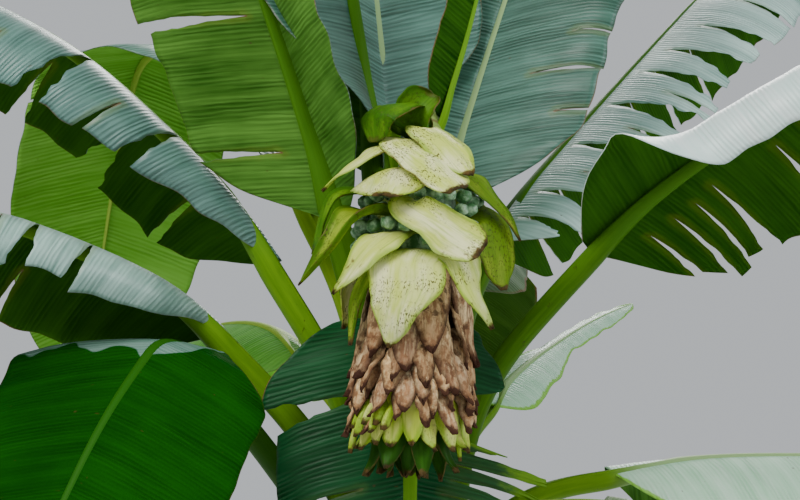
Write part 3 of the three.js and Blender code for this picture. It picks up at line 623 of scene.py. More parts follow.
BLADE_FINISHES = {
    "leaf_upper": dict(
        deep=(0.010, 0.074, 0.044), lit=(0.135, 0.325, 0.250), glow=(0.16, 0.33, 0.05),
        rough=0.40, coat=0.3, bloom=0.15, pleat=0.32, relief_height=0.0034),
    "bluish_leaf_upper": dict(
        deep=(0.042, 0.125, 0.105), lit=(0.210, 0.420, 0.365), glow=(0.18, 0.34, 0.08),
        rough=0.40, coat=0.3, share=0.14, bloom=0.2, relief_height=0.0025),
    # A real waxy bloom made paler by a painted sky sheen.
    "soft_wax_and_painted_sheen_leaf_upper": dict(
        deep=(0.09, 0.22, 0.175), lit=(0.50, 0.74, 0.66), glow=(0.20, 0.36, 0.12),
        rough=0.38, coat=0.3, dryness=0.6, share=0.12, bloom=0.3, pleat=0.14, relief_height=0.0018),
    # A real waxy bloom made paler still by a painted sky sheen.
    "wax_and_painted_sky_sheen_leaf_upper": dict(
        deep=(0.14, 0.32, 0.265), lit=(0.68, 0.92, 0.84), glow=(0.24, 0.40, 0.14),
        rough=0.38, coat=0.3, dryness=0.6, share=0.12, bloom=0.3, pleat=0.18, relief_height=0.0022),
    # Pale wax under a painted reflection of the sky, almost white.
    "wax_and_painted_sky_glare_leaf_upper": dict(
        deep=(0.64, 0.92, 0.85), lit=(0.90, 1.00, 0.98), glow=(0.40, 0.60, 0.30), rough=0.36, coat=0.4,
        dryness=0.6, share=0.14, shine=0.6, bloom=0.6, pleat=0.14, relief_height=0.0018),
    "leaf_under": dict(
        deep=(0.006, 0.050, 0.001), lit=(0.044, 0.168, 0.006), glow=(0.16, 0.42, 0.02),
        rough=0.6, share=0.30, shine=0.04, pleat=0.26, relief_height=0.0030),
    "sunlit_leaf_under": dict(
        deep=(0.020, 0.098, 0.004), lit=(0.175, 0.420, 0.062), glow=(0.14, 0.40, 0.02),
        rough=0.55, dryness=0.7, share=0.20, shine=0.08, pleat=0.10, relief_height=0.0018),
    # Under side whose bright lime is painted light, for blades that hang in the shade of other leaves.
    "painted_light_leaf_under": dict(
        deep=(0.150, 0.500, 0.020), lit=(0.430, 0.860, 0.150), glow=(0.42, 0.90, 0.06),
        rough=0.5, share=0.40, shine=0.10, pleat=0.34, relief_height=0.0036),
    "lime_leaf_upper": dict(
        deep=(0.085, 0.320, 0.025), lit=(0.290, 0.620, 0.110), glow=(0.34, 0.74, 0.06),
        rough=0.45, coat=0.1, share=0.30, shine=0.3, bloom=0.08, pleat=0.26),
    "broken_leaf_upper": dict(
        deep=(0.001, 0.034, 0.006), lit=(0.012, 0.125, 0.038), glow=(0.06, 0.2, 0.03),
        rough=0.42, dryness=0.7, share=0.12, shine=0.16, ends=(0.16, 0.34, 0.012)),
    "shaded_leaf_upper": dict(
        deep=(0.001, 0.048, 0.0005), lit=(0.003, 0.105, 0.001), glow=(0.02, 0.25, 0.01),
        rough=0.7, dryness=0.6, share=0.25, shine=0.02, crest=(0.08, 0.22, 0.16)),
    # Pale upper side: partly a young leaf's own pale green and partly painted light. The old leaf_16 wears it
    # too.
    "pale_and_painted_light_leaf_upper": dict(
        deep=(0.40, 0.78, 0.48), lit=(0.78, 1.00, 0.82), glow=(0.40, 0.66, 0.18),
        rough=0.40, coat=0.2, dryness=0.3, share=0.2, bloom=0.3, hem=(0.24, 0.62, 0.02)),
    "old_leaf_upper": dict(
        deep=(0.045, 0.115, 0.030), lit=(0.140, 0.230, 0.085), glow=(0.20, 0.33, 0.05),
        rough=0.48, coat=0.1, dryness=2.0, shine=0.35, bloom=0.08),
    "old_leaf_under": dict(
        deep=(0.014, 0.062, 0.003), lit=(0.055, 0.140, 0.012), glow=(0.17, 0.33, 0.03),
        rough=0.6, dryness=2.0, share=0.26, shine=0.06),
}
skins = {name: blade_finish(name, **look) for name, look in BLADE_FINISHES.items()}
print("blade finishes:", len(skins))

# %% [markdown]
# ## Blades
# Each blade is two torn halves on one rib. The grid is a bare skin, so Solidify gives it two millimetres
# of body and puts the under side's finish on the lower face. The real blade is thinner, but anything
# under a millimetre shows flickering edges from afar.

# %% Blades
LEAF_LOOKS = {   # the finishes of the upper side, the under side and the stalk
    "usual": ("leaf_upper", "leaf_under", "leaf_stalk"),
    "plain": ("leaf_upper", "leaf_under", "waxy_leaf_stalk"),
    "bluish": ("bluish_leaf_upper", "leaf_under", "leaf_stalk"),
    # These three looks have real wax with a painted sky sheen on their upper sides.
    "soft_wax_and_painted_sheen": ("soft_wax_and_painted_sheen_leaf_upper", "leaf_under", "leaf_stalk"),
    "waxy": ("wax_and_painted_sky_sheen_leaf_upper", "leaf_under", "deep_green_stalk"),
    "wax_and_painted_sky_glare": ("wax_and_painted_sky_glare_leaf_upper", "leaf_under", "deep_green_stalk"),
    "lit": ("leaf_upper", "sunlit_leaf_under", "deep_green_stalk"),
    "clear": ("leaf_upper", "painted_light_leaf_under", "yellow_leaf_stalk"),
    "lime": ("lime_leaf_upper", "painted_light_leaf_under", "yellow_leaf_stalk"),
    "broken": ("broken_leaf_upper", "leaf_under", "leaf_stalk"),
    "shaded": ("shaded_leaf_upper", "leaf_under", "shaded_leaf_stalk"),
    "young": ("pale_and_painted_light_leaf_upper", "sunlit_leaf_under", "waxy_leaf_stalk"),
    "old": ("old_leaf_upper", "old_leaf_under", "old_leaf_stalk"),
}
LEFT_SEED, RIGHT_SEED = 100, 300
leaf_lines = {}
for number, (name, leaf) in enumerate(LEAVES.items()):
    line, stride = leaf_lines[name] = leaf_line(leaf)
    shape = bmesh.new()
    blade_half(shape, leaf, leaf["left"], line, stride, 1, LEFT_SEED + number)
    blade_half(shape, leaf, leaf["right"], line, stride, -1, RIGHT_SEED + number)
    sides = [skins[side] for side in LEAF_LOOKS[leaf.get("looks", "usual")][:2]]
    node = name if name == "flag_leaf" else name + "_blade"
    finish_piece(node + "_fine", shape, sides, [node], merge=2e-6, thick=0.0022, under=1,
                 outward=False)

# %% [markdown]
# ## Stalks and ribs
# The stalk is a thick gutter: round below, hollow above, with a thin rim on either side. Where the blade
# begins it closes up, becomes the rib and thins away to the tip. One tube along the leaf's line makes
# both. A grid is rolled round the line, its cross-section changing from gutter to rib, and its seam is
# merged. The stalk is blotched, and the rib takes a paler colour.

# %% Stalk finish
def stalk_finish(name, shade, lit, rib, pale):
    skin = Finish(name)
    around, along = skin.along("grain")
    streaks = skin.cloud(skin.map_point(around * 26, along * 5), 1.0, 3.0, 0.6)
    patches = skin.cloud(skin.place(), 5.0, 3.0)
    colour = skin.mix((streaks * 0.9 + patches * 0.6 - 0.3).clamped(), shade, lit)
    high = along.between(-0.02, 0.16)
    colour = skin.mix(high * pale, colour, rib)
    blotch = skin.cloud(skin.stretched((34.0, 34.0, 16.0)), 1.0, 4.0, 0.65).between(0.63, 0.70)
    colour = skin.mix(blotch * (1 - high) * 0.75, colour, (0.04, 0.028, 0.012))
    return skin.wear(colour, 0.5, streaks * 0.5 + patches * 0.2, 0.0012, shine=0.1)


STALK_FINISHES = {   # two greens, the rib's colour and how far it shows
    "leaf_stalk": ((0.052, 0.175, 0.0008), (0.195, 0.400, 0.004), (0.12, 0.29, 0.02), 0.4),
    "waxy_leaf_stalk": ((0.045, 0.140, 0.0005), (0.165, 0.330, 0.002), (0.34, 0.50, 0.24), 0.75),
    "old_leaf_stalk": ((0.09, 0.19, 0.010), (0.24, 0.34, 0.04), (0.26, 0.32, 0.10), 0.5),
    "shaded_leaf_stalk": ((0.010, 0.062, 0.0005), (0.036, 0.135, 0.002), (0.014, 0.105, 0.002), 0.9),
    "deep_green_stalk": ((0.022, 0.090, 0.0005), (0.095, 0.235, 0.002), (0.06, 0.20, 0.01), 0.5),
    "yellow_leaf_stalk": ((0.10, 0.24, 0.002), (0.30, 0.46, 0.012), (0.40, 0.56, 0.10), 0.6),
}
skins.update({name: stalk_finish(name, *look) for name, look in STALK_FINISHES.items()})

# %% Cross-section of stalk and rib
AROUND = 28
RING_SPACING = 20 * MM
RIB_END = 0.985                    # share of the blade's length where the rib ends


def gutter(turn, open_share):
    """A corner of the cross-section: turn runs once round from the top middle; 1 is an open gutter."""
    angle = 2 * math.pi * turn + math.pi / 2
    x, y = math.cos(angle), math.sin(angle)
    if y < 0:
        return x, y
    rim = 0.34 * math.exp(-((abs(x) - 0.86) / 0.16) ** 2)
    hollow = rim - 0.38 * (1 - min(abs(x) / 0.86, 1) ** 2) + 0.12 * y
    flat = 0.36 * y
    return x * (1 + 0.03 * open_share), hollow * open_share + flat * (1 - open_share)


def add_stalk(shape, leaf, line, stride):
    """Roll a grid round the leaf's line, from its root to the tip of the rib."""
    stout = leaf.get("stout", 1)
    stalk, blade = leaf["stalk"] * MM, leaf["blade"] * MM
    length = stalk + blade * RIB_END
    rings = round(length / RING_SPACING)

    def rule(u, v):
        s = v * length
        place, forward, side, upper = on_line(line, stride, s)
        t = max(0.0, (s - stalk) / blade)
        open_share = 1 - step(stalk * 0.9, stalk + 0.12 * blade, s)
        if s < stalk:
            spread = 1 + 0.55 * (1 - s / stalk) ** 2
            half, deep = STALK_RADIUS * stout * spread, STALK_DEPTH * stout
        else:
            half = STALK_RADIUS * stout * (0.16 + 0.84 * (1 - t) ** 1.7) * (1 - 0.45 * step(0, 0.16, t))
            half *= eased(leaf.get("rib", 1), t)
            deep = STALK_DEPTH * stout * (0.12 + 0.88 * (1 - t) ** 1.4)
        x, y = gutter(u, open_share)
        rise = -0.62 * deep * open_share + (2.5 * MM - 0.30 * deep) * (1 - open_share)
        return place + side * (x * half) + upper * (y * deep + rise)

    add_sheet(shape, AROUND, rings, rule, grain=lambda u, v: (u, v * length - stalk))


def close_tube(shape):
    """Merge the seam of a rolled-up grid and put a lid on its open ends."""
    bmesh.ops.remove_doubles(shape, verts=shape.verts[:], dist=1e-5)
    bmesh.ops.holes_fill(shape, edges=[edge for edge in shape.edges if edge.is_boundary])


for name, leaf in LEAVES.items():
    shape = bmesh.new()
    add_stalk(shape, leaf, *leaf_lines[name])
    close_tube(shape)
    stalk_skin = skins[LEAF_LOOKS[leaf.get("looks", "usual")][2]]
    node = name if name == "flag_leaf" else name + "_stalk"
    finish_piece(name + "_stalk_and_rib", shape, [stalk_skin], [node])

# %% [markdown]
# ## The false stem
# What looks like a trunk is a roll of leaf sheaths, the lowest leaf's outermost. It swells at the foot
# and is smooth and slightly shiny, with lengthwise streaks and brown papery edges where one sheath ends
# over the next. A grid wrapped round a profile gives the body; a thin curved panel under each leaf's
# root gives the overlapping sheaths, the oldest furthest out.

# %% Stem finish
def stem_finish(name, base, lit, brown):
    skin = Finish(name)
    across, along = skin.along("grain")
    margin = skin.along("edge")[0]
    fine = skin.cloud(skin.map_point(across * 150, along * 3), 1.0, 4.0, 0.65)
    broad = skin.cloud(skin.map_point(across * 16, along * 1.6), 1.0, 3.0, 0.6)
    colour = skin.mix((broad.between(0.3, 0.7) * 0.6 + fine * 0.6 - 0.15).clamped(), base, lit)
    foot = 1 - along.between(0.1, 1.3)
    stain = skin.cloud(skin.map_point(across * 12, along * 4), 1.0, 5.0, 0.65)
    colour = skin.mix((foot * 0.75 + stain - 0.62).between(0.0, 0.30) * 0.75, colour, (0.135, 0.085, 0.035))
    dark = skin.cloud(skin.map_point(across * 40, along * 9), 1.0, 4.0, 0.7).between(0.60, 0.70)
    colour = skin.mix(dark * 0.55, colour, (0.045, 0.035, 0.018))
    rim = 1 - (margin - fine * 0.02).between(0.0, 0.008)
    colour = skin.mix(rim, colour, brown)
    return skin.wear(colour, fine * 0.25 + 0.35, fine * 0.6 + broad * 0.3 + rim * 0.5, 0.0022, 0.1)


stem_skin = stem_finish("false_stem", (0.085, 0.135, 0.030), (0.215, 0.275, 0.085), (0.16, 0.085, 0.035))
sheath_skin = stem_finish("leaf_sheath", (0.095, 0.165, 0.030), (0.235, 0.320, 0.090), (0.15, 0.075, 0.03))

# %% Stem body
STEM_PROFILE = [   # height and radius in millimetres
    (0, 235), (120, 228), (420, 208), (900, 178), (1500, 150), (2100, 132), (2500, 118), (2780, 100),
    (2960, 82)]
STEM_HEIGHT = 2960 * MM


def stem_radius(z):
    z /= MM
    for (a, low), (b, high) in zip(STEM_PROFILE, STEM_PROFILE[1:]):
        if z <= b:
            return (low + (high - low) * max(z - a, 0) / (b - a)) * MM
    return STEM_PROFILE[-1][1] * MM


def on_stem(turn, z, out=0.0):
    """A place on the stem's skin: turn in degrees, height and distance outside it."""
    high = min(z / STEM_HEIGHT, 1)
    r = stem_radius(z) + out
    a = math.radians(turn)
    lean = 0.030 * (high - high * high) * 1.6
    return Vector((r * math.cos(a) + lean, r * math.sin(a) * (1 - 0.06 * (1 - high)), z))


def stem_rule(u, v):
    z, angle = v * STEM_HEIGHT, 2 * math.pi * u
    ribbed = noise.noise(Vector((math.cos(angle) * 3, math.sin(angle) * 3, z * 0.5))) * 0.007
    lobes = math.sin(angle * 5 + z * 0.5) * 0.003
    return on_stem(360 * u, z, ribbed + lobes - 0.003)


shape = bmesh.new()
add_sheet(shape, 96, 180, stem_rule, grain=lambda u, v: (u * 1.1, v * STEM_HEIGHT),
          edge=lambda u, v: (FAR, FAR))
close_tube(shape)
finish_piece("false_stem", shape, [stem_skin], ["pseudostem"])

# %% Sheaths under the leaves
shape = bmesh.new()
by_age = sorted((name for name in LEAVES if name != "flag_leaf"), key=lambda name: -LEAVES[name]["root"][2])
for rank, name in enumerate(by_age):
    root = LEAVES[name]["root"]
    turn = math.degrees(math.atan2(root[1], root[0]))
    top, drop = root[2] * MM + 0.10, (1.1 + 0.10 * rank) if rank > 3 else 0.7
    out = 0.0015 + 0.0011 * rank
    drift = random.Random(50 + rank).uniform(-14, 14)

    def sheath_rule(u, v):
        z = top - v * drop
        span = 64 + 70 * step(0.0, 0.30, v) + 14 * math.sin(v * 5 + rank)
        wrap = turn + drift * v + (u - 0.5) * span
        lift = 0.010 * (1 - step(0, 0.12, v)) + 0.0016 * abs(2 * u - 1) ** 6
        ruffle = noise.noise(Vector((u * 4, v * 9, rank * 3.1))) * 0.0012
        sink = -0.010 * step(0.82, 1.0, v)
        return on_stem(wrap, max(z, 0.02), out + lift + ruffle + sink)

    add_sheet(shape, 30, 70, sheath_rule, grain=lambda u, v: (u * 0.45 + rank * 0.37, top - v * drop),
              edge=lambda u, v: (min(u, 1 - u) * 0.4, FAR))
finish_piece("leaf_sheaths", shape, [sheath_skin], ["pseudostem"], merge=1e-7, thick=0.003,
             outward=False)

# %% [markdown]
# ## The stalk of the head
# The flowering head hangs on a thick stalk that leaves the stem's top, turns over and points down. A
# smooth curve through ten points carries it; the same curve tells where every bract grows. A curve
# object would do for the tube, but the grid helper keeps all pieces in one way of working.

# %% The curve of the stalk
AXIS_POINTS = [Vector(p) * MM for p in (
    (0, 0, 2974), (4, -20, 3180), (16, -70, 3340), (34, -180, 3455), (48, -310, 3470), (50, -410, 3390),
    (42, -450, 3240), (28, -455, 3060), (16, -455, 2860), (8, -450, 2640))]
AXIS_RADIUS = 46 * MM
SCAR_SPACING = 0.075               # metres from one ring-shaped scar to the next


def smooth_line(points, fineness=24):
    """Even corners along the smooth curve through some points, and the lengths up to each of them."""
    ends = [2 * points[0] - points[1], *points, 2 * points[-1] - points[-2]]
    line = []
    for a, b, c, d in zip(ends, ends[1:], ends[2:], ends[3:]):
        t1 = (b - a).length ** 0.5
        t2 = t1 + (c - b).length ** 0.5
        t3 = t2 + (d - c).length ** 0.5
        for k in range(fineness):
            t = t1 + (t2 - t1) * k / fineness
            ab, bc, cd = a.lerp(b, t / t1), b.lerp(c, (t - t1) / (t2 - t1)), c.lerp(d, (t - t2) / (t3 - t2))
            line.append(ab.lerp(bc, t / t2).lerp(bc.lerp(cd, (t - t1) / (t3 - t1)), (t - t1) / (t2 - t1)))
    line.append(points[-1].copy())
    lengths = [0.0]
    for a, b in zip(line, line[1:]):
        lengths.append(lengths[-1] + (b - a).length)
    return line, lengths


def along_line(line, lengths, share):
    """Place and direction at a share of a line's length."""
    goal = min(max(share, 0), 1) * lengths[-1]
    i = max(k for k in range(len(line) - 1) if lengths[k] <= goal + 1e-9)
    place = line[i].lerp(line[i + 1], (goal - lengths[i]) / (lengths[i + 1] - lengths[i]))
    return place, (line[min(i + 2, len(line) - 1)] - line[max(i - 1, 0)]).normalized()


axis, axis_lengths = smooth_line(AXIS_POINTS)


def on_axis(share):
    return along_line(axis, axis_lengths, share)


def path_through(points):
    """The smooth line through some points, as a rule that takes a share of its length."""
    line, lengths = smooth_line(points)
    return lambda t: along_line(line, lengths, t)[0]


def head_at(z):
    """The middle line of the hanging part at a height in millimetres."""
    for a, b in zip(AXIS_POINTS[5:], AXIS_POINTS[6:]):
        if z * MM >= b.z or b is AXIS_POINTS[-1]:
            return Vector((a.x + (b.x - a.x) * (z * MM - a.z) / (b.z - a.z), -0.450, z * MM))


def round_head(turn, out, z):
    """A place round the head: turn, millimetres from its middle line, height in millimetres."""
    return head_at(z) + heading(turn) * (out * MM)


def foot_of(turn, z):
    """Where a bract grows: just outside the middle line, at a height in millimetres."""
    share = next((k / 200 for k in range(100, 200) if on_axis(k / 200)[0].z <= z * MM), 1.0)
    return on_axis(share)[0] + heading(turn) * 0.020


print("stalk of the head:", round(axis_lengths[-1], 3), "m")

# %% Stalk of the head
def head_stalk_finish():
    skin = Finish("head_stalk")
    around, along = skin.along("grain")
    streaks = skin.cloud(skin.map_point(around * 18, along * 3), 1.0, 3.0, 0.6)
    turns = (along + skin.cloud(skin.place(), 14.0) * 0.012) * (2 * math.pi / SCAR_SPACING)
    rings = turns.sine().between(0.86, 0.99)
    colour = skin.mix(streaks, (0.12, 0.21, 0.03), (0.30, 0.40, 0.10))
    colour = skin.mix(rings * 0.7, colour, (0.13, 0.075, 0.03))
    return skin.wear(colour, 0.5, streaks * 0.4 - rings * 0.6, 0.002, 0.1)


def axis_rule(low, high):
    def rule(u, v):
        share = low + (high - low) * v
        place, forward = on_axis(share)
        side = (Vector((1, 0, 0)) - forward * forward.x).normalized()
        r = AXIS_RADIUS * (1.25 - 1.25 * share if share < 0.2 else 1)
        scar = 0.0018 * math.exp(-((share * axis_lengths[-1] / SCAR_SPACING) % 1 - 0.5) ** 2 * 40)
        angle = 2 * math.pi * u
        return place + (side * math.cos(angle) + forward.cross(side) * math.sin(angle)) * (r + scar - 0.001)
    return rule


head_stalk_skin = head_stalk_finish()
for name, low, high in (("flower_stalk_rising", 0.0, 0.38), ("flower_stalk_hanging", 0.38, 1.0)):
    shape = bmesh.new()
    add_sheet(shape, 28, round(120 * (high - low)), axis_rule(low, high),
              grain=lambda u, v: (u, (low + (high - low) * v) * axis_lengths[-1]))
    close_tube(shape)
    finish_piece(name + "_fine", shape, [head_stalk_skin], [name])

# %% [markdown]
# ## Bracts
# The broad pale bracts stand out from the stalk over the fruit, like open hands. Each grows out over
# the berries and hangs to a tip that dries dark and curls. They are leathery: cream to lime green with
# fine dark specks along their veins, greener near the foot. Each one follows a smooth line through four
# points; cup bends its two margins back, a blunt one ends broad, and a chance value gives the margins
# corners. A sheet with loop cuts pulled by hand would do too, but nineteen of them would take long.

# %% Bract finish
def bract_finish(name, cream, lime, green, speckled, tipped=1.0):
    skin = Finish(name)
    across, along = skin.along("grain")
    margin, tip = skin.along("edge")
    veins = skin.cloud(skin.map_point(across * 130, along * 5), 1.0, 3.0, 0.6)
    broad = skin.cloud(skin.map_point(across * 20, along * 6), 1.0, 3.0, 0.6)
    patches = skin.cloud(skin.place(), 8.0, 4.0, 0.6)
    colour = skin.mix(broad.between(0.38, 0.62), cream, lime)
    colour = skin.mix(patches.between(0.46, 0.62) * 0.60, colour, lime)
    colour = skin.mix(veins.between(0.48, 0.70) * 0.45, colour, green)
    foot = 1 - (along + broad * 0.10).between(0.08, 0.24)
    colour = skin.mix(foot * 0.8, colour, green)
    lined = 1 - (margin - broad * 0.016).between(-0.004, 0.008)
    colour = skin.mix(lined * 0.7, colour, green)
    specks = skin.cloud(skin.map_point(across * 260, along * 130), 1.0, 2.0, 0.5)
    clusters = skin.cloud(skin.place(), 13.0, 3.0)
    mask = specks.between(0.565, 0.61) * clusters.between(0.43, 0.58)
    colour = skin.mix(mask * speckled, colour, (0.050, 0.036, 0.016))
    fray = skin.cloud(skin.place(), 60.0, 4.0, 0.65)
    dry = 1 - (tip - fray * 0.040 + 0.012).between(0.0, 0.012)
    rim = (1 - (margin - fray * 0.007 + 0.003).between(0.0, 0.002)) * clusters.between(0.45, 0.6)
    tan = skin.mix(fray.between(0.35, 0.7), (0.022, 0.012, 0.006), (0.130, 0.075, 0.022))
    colour = skin.mix(rim * 0.8, colour, (0.16, 0.095, 0.03))
    colour = skin.mix(dry * tipped, colour, tan)
    scorch = skin.cloud(skin.map_point(across * 36, along * 14), 1.0, 4.0, 0.7).between(0.63, 0.70)
    colour = skin.mix(scorch * 0.8, colour, (0.13, 0.085, 0.03))
    relief = veins * 0.6 + broad * 0.5 - mask * 0.3 + dry * 0.4
    return skin.wear(colour, veins * 0.2 + 0.42, relief, 0.0020, 0.04, (0.45, 0.58, 0.04), 0.16, 0.10)


BRACT_LOOKS = {
    "pale": bract_finish("bract", (1.00, 1.00, 0.52), (0.70, 0.80, 0.15), (0.27, 0.46, 0.015), 0.9),
    "green": bract_finish("green_bract", (0.34, 0.46, 0.030), (0.15, 0.29, 0.006), (0.035, 0.14, 0.002), 0.8),
    "dark": bract_finish("dark_bract", (0.15, 0.32, 0.008), (0.045, 0.16, 0.003), (0.015, 0.085, 0.001), 0.5,
                         tipped=0.55),
}

# %% Bract shapes
# foot: turn and height. through: three points. face: turn and rise of the outer side. roll: the two
# margins. Lengths are in millimetres, angles in degrees.
BRACTS = {
    "bract_front": dict(
        foot=(262, 3105), through=[(-10, -636, 3062), (-30, -664, 2944), (-54, -626, 2826)],
        face=(256, 25), wide=225, roll=(0.35, 0.1), blunt=0.12, full=0.46),
    "bract_front_left": dict(
        foot=(245, 3150), through=[(-68, -622, 3112), (-124, -642, 3052), (-184, -610, 2962)],
        face=(240, 25), wide=118, roll=(0.5, 0), blunt=0.05),
    "bract_front_right": dict(
        foot=(262, 3235), through=[(0, -640, 3190), (84, -668, 3132), (184, -668, 3062)],
        face=(272, 25), wide=128, roll=(0.2, 0.45), blunt=1, full=0.7),
    "bract_right": dict(
        foot=(310, 3095), through=[(126, -620, 3060), (160, -632, 2972), (222, -592, 2880)],
        face=(292, 25), wide=120, roll=(0.4, 0.4), blunt=0, full=0.45),
    "bract_middle": dict(
        foot=(258, 3290), through=[(-16, -560, 3300), (-42, -640, 3262), (-58, -692, 3192)],
        face=(250, 60), wide=225, roll=(0.1, 0.35), cup=0.4, blunt=0.5),
    "bract_top": dict(
        foot=(270, 3370), through=[(-16, -560, 3372), (50, -640, 3302), (122, -684, 3212)],
        face=(268, 45), wide=165, roll=(0.5, 0.1), blunt=1, full=0.7),
    "bract_top_right": dict(
        foot=(300, 3400), through=[(36, -560, 3404), (98, -602, 3346), (160, -640, 3262)],
        face=(288, 45), wide=110, roll=(0.1, 0.6), blunt=0.5, full=0.6),
    "bract_top_left": dict(
        foot=(215, 3350), through=[(-58, -540, 3362), (-137, -580, 3304), (-226, -572, 3244)],
        face=(228, 50), wide=115, roll=(0.3, 0.5), blunt=0, full=0.45),
    "bract_far_right": dict(
        foot=(340, 3310), through=[(162, -520, 3280), (228, -512, 3210), (298, -490, 3122)],
        face=(308, 30), wide=100, roll=(0.5, 0.2), blunt=0, full=0.4, look="green"),
    "bract_right_back": dict(
        foot=(2, 3185), through=[(206, -500, 3180), (232, -500, 3090), (246, -500, 2988)],
        face=(305, 25), wide=130, roll=(0.3, 0.3), blunt=0.8, look="green"),
    "bract_left_back": dict(
        foot=(196, 3190), through=[(-140, -580, 3166), (-204, -592, 3082), (-282, -560, 2996)],
        face=(222, 25), wide=120, roll=(0.2, 0.5), cup=-0.2, blunt=0, full=0.4, look="green"),
    "bract_left_edge": dict(
        foot=(170, 3250), through=[(-186, -500, 3244), (-222, -500, 3170), (-238, -500, 3080)],
        face=(205, 25), wide=100, roll=(0.4, 0.4), look="dark"),
    "bract_left_low": dict(
        foot=(190, 3065), through=[(-90, -475, 3050), (-136, -492, 2975), (-150, -505, 2846)],
        face=(215, 25), wide=95, look="green"),
    "bract_back_right": dict(
        foot=(42, 3260), through=[(110, -385, 3268), (164, -345, 3232), (223, -293, 3105)],
        face=(40, 25), wide=160),
    "bract_back_left": dict(
        foot=(128, 3300), through=[(-15, -370, 3318), (-67, -322, 3272), (-122, -275, 3150)],
        face=(130, 25), wide=165),
    "bract_back_low": dict(
        foot=(80, 3120), through=[(44, -330, 3128), (40, -266, 3062), (11, -258, 2900)],
        face=(86, 25), wide=170),
    "bract_back_side": dict(
        foot=(150, 3110), through=[(-60, -395, 3115), (-130, -358, 3058), (-179, -362, 2905)],
        face=(150, 25), wide=140),
    "bract_curled": dict(
        foot=(240, 3440), through=[(-26, -535, 3470), (-86, -560, 3440), (-96, -560, 3366)],
        face=(222, 48), wide=140, roll=(0.4, 0.2), cup=0.45, blunt=0.8, look="dark"),
    "bract_upright": dict(
        foot=(285, 3415), through=[(20, -510, 3416), (38, -530, 3456), (72, -525, 3498)],
        face=(265, 25), wide=125, roll=(0.5, 0.3), cup=-0.35, blunt=0.9, look="dark"),
}
STRETCHES = 6.5                    # straight stretches to a margin


def bract_width(t, blunt=0.1, full=0.5):
    """Share of a bract's half width at share t of its length; it is widest at the share full."""
    return (0.38 + 0.62 * min(t / full, 1) ** 0.8) * max(
        1 - (max(t - full, 0) / (1.01 - full)) ** (1.25 + 3.2 * blunt), 0) ** (0.95 - 0.45 * blunt)


def corners(v, side, seed):
    """A chance value that runs in straight stretches along a margin, so the margin gets corners."""
    k, u = divmod(v * STRETCHES, 1)
    here, there = (noise.noise(Vector((at * 3.7 + 0.4, seed * 1.9 + 0.3, side * 5.3))) for at in (k, k + 1))
    return here + (there - here) * u


def add_pointed_sheet(shape, path, face, wide, cup, seed, columns=16, rows=34, twist=0.0, curl=0.0, wavy=1.0,
                      blunt=0.1, full=0.5, roll=(0.0, 0.0), crumple=0.0, angular=0.0):
    """A cupped sheet along a path; its maps hold metres across, along, to the margin and to the tip,
    and two chance values of its own."""
    length = sum((path(k / 20) - path((k - 1) / 20)).length for k in range(1, 21))

    def rule(u, v):
        at = path(v)
        forward = (path(min(v + 0.02, 1)) - path(max(v - 0.02, 0))).normalized()
        out = (face - forward * face.dot(forward)).normalized()
        side = forward.cross(out)
        lean = math.radians(twist * v * v)
        out, side = out * math.cos(lean) + side * math.sin(lean), side * math.cos(lean) - out * math.sin(lean)
        x = 2 * u - 1
        ragged = 1 + (0.06 + 0.12 * blunt * v) * noise.noise(Vector((v * 7, seed, math.copysign(3, x)))) \
            + 0.10 * v * noise.noise(Vector((v * 19, seed, math.copysign(8, x)))) \
            + angular * corners(v, math.copysign(1, x), seed)
        w = wide / 2 * bract_width(v * 0.999, blunt, full) * ragged
        bend = cup * w * x * x
        ruffle = noise.noise(Vector((v * 4.5, x * 1.3, seed * 1.7))) * 0.010 * abs(x) ** 1.5 * wavy
        buckle = noise.noise(Vector((v * 2.6 + 5, x * 1.1, seed * 2.3))) * 0.012 * wavy * v
        crease = -0.0025 * math.exp(-(x / 0.09) ** 2) * (1 - v)
        last = step(0.72, 1.0, v)
        lift = roll[0 if x > 0 else 1] * max(abs(x) - 0.45, 0) ** 1.6 * step(0.15, 0.6, v)
        folds = crumple * noise.noise(Vector((v * 15, x * 3, seed * 0.9))) * (0.3 + v)
        raised = ruffle + buckle + crease + folds - bend + curl * 0.03 * last * last + lift * w * 1.6
        return at + side * (x * w * (1 - 0.9 * abs(lift))) + out * raised

    def half_width(v):
        return wide / 2 * bract_width(v, blunt, full)

    add_sheet(shape, columns, rows, rule,
              grain=lambda u, v: ((2 * u - 1) * half_width(v) + seed * 0.31, v * length + seed * 0.17),
              edge=lambda u, v: ((1 - abs(2 * u - 1)) * half_width(v), (1 - v) * length),
              kind=lambda u, v: ((seed * 0.618) % 1, (seed * 0.371) % 1))


def finish_bracts(name, shape, skin, thick):
    return finish_piece(name + "_fine", shape, [skin], [name], merge=1e-6, thick=thick, rounds=1,
                        outward=False)


bract_places = []
for number, (name, b) in enumerate(BRACTS.items()):
    path = path_through([foot_of(*b["foot"]), *(Vector(p) * MM for p in b["through"])])
    dice = random.Random(700 + number)
    shape = bmesh.new()
    add_pointed_sheet(shape, path, heading(*b["face"]), b["wide"] * MM, b.get("cup", 0.28), number,
                      curl=dice.uniform(-0.5, 0.6), twist=dice.uniform(-12, 12), blunt=b.get("blunt", 0.1),
                      full=b.get("full", 0.5), roll=b.get("roll", (0.2, 0.2)), angular=0.36)
    piece = finish_bracts(name, shape, BRACT_LOOKS[b.get("look", "pale")], 0.0035)
    bract_places += [corner.co.copy() for corner in piece.data.vertices]

# %% [markdown]
# ## Young fruit
# Under the bracts sit rings of small angular berries, dark blue-green under a pale bloom that rubs off;
# its pale patches are partly painted highlight.
# A berry is an icosphere stretched outwards and pressed flat on its sides by its neighbours. There are
# dozens of them, so each keeps only a few faces and smooth shading does the rest.

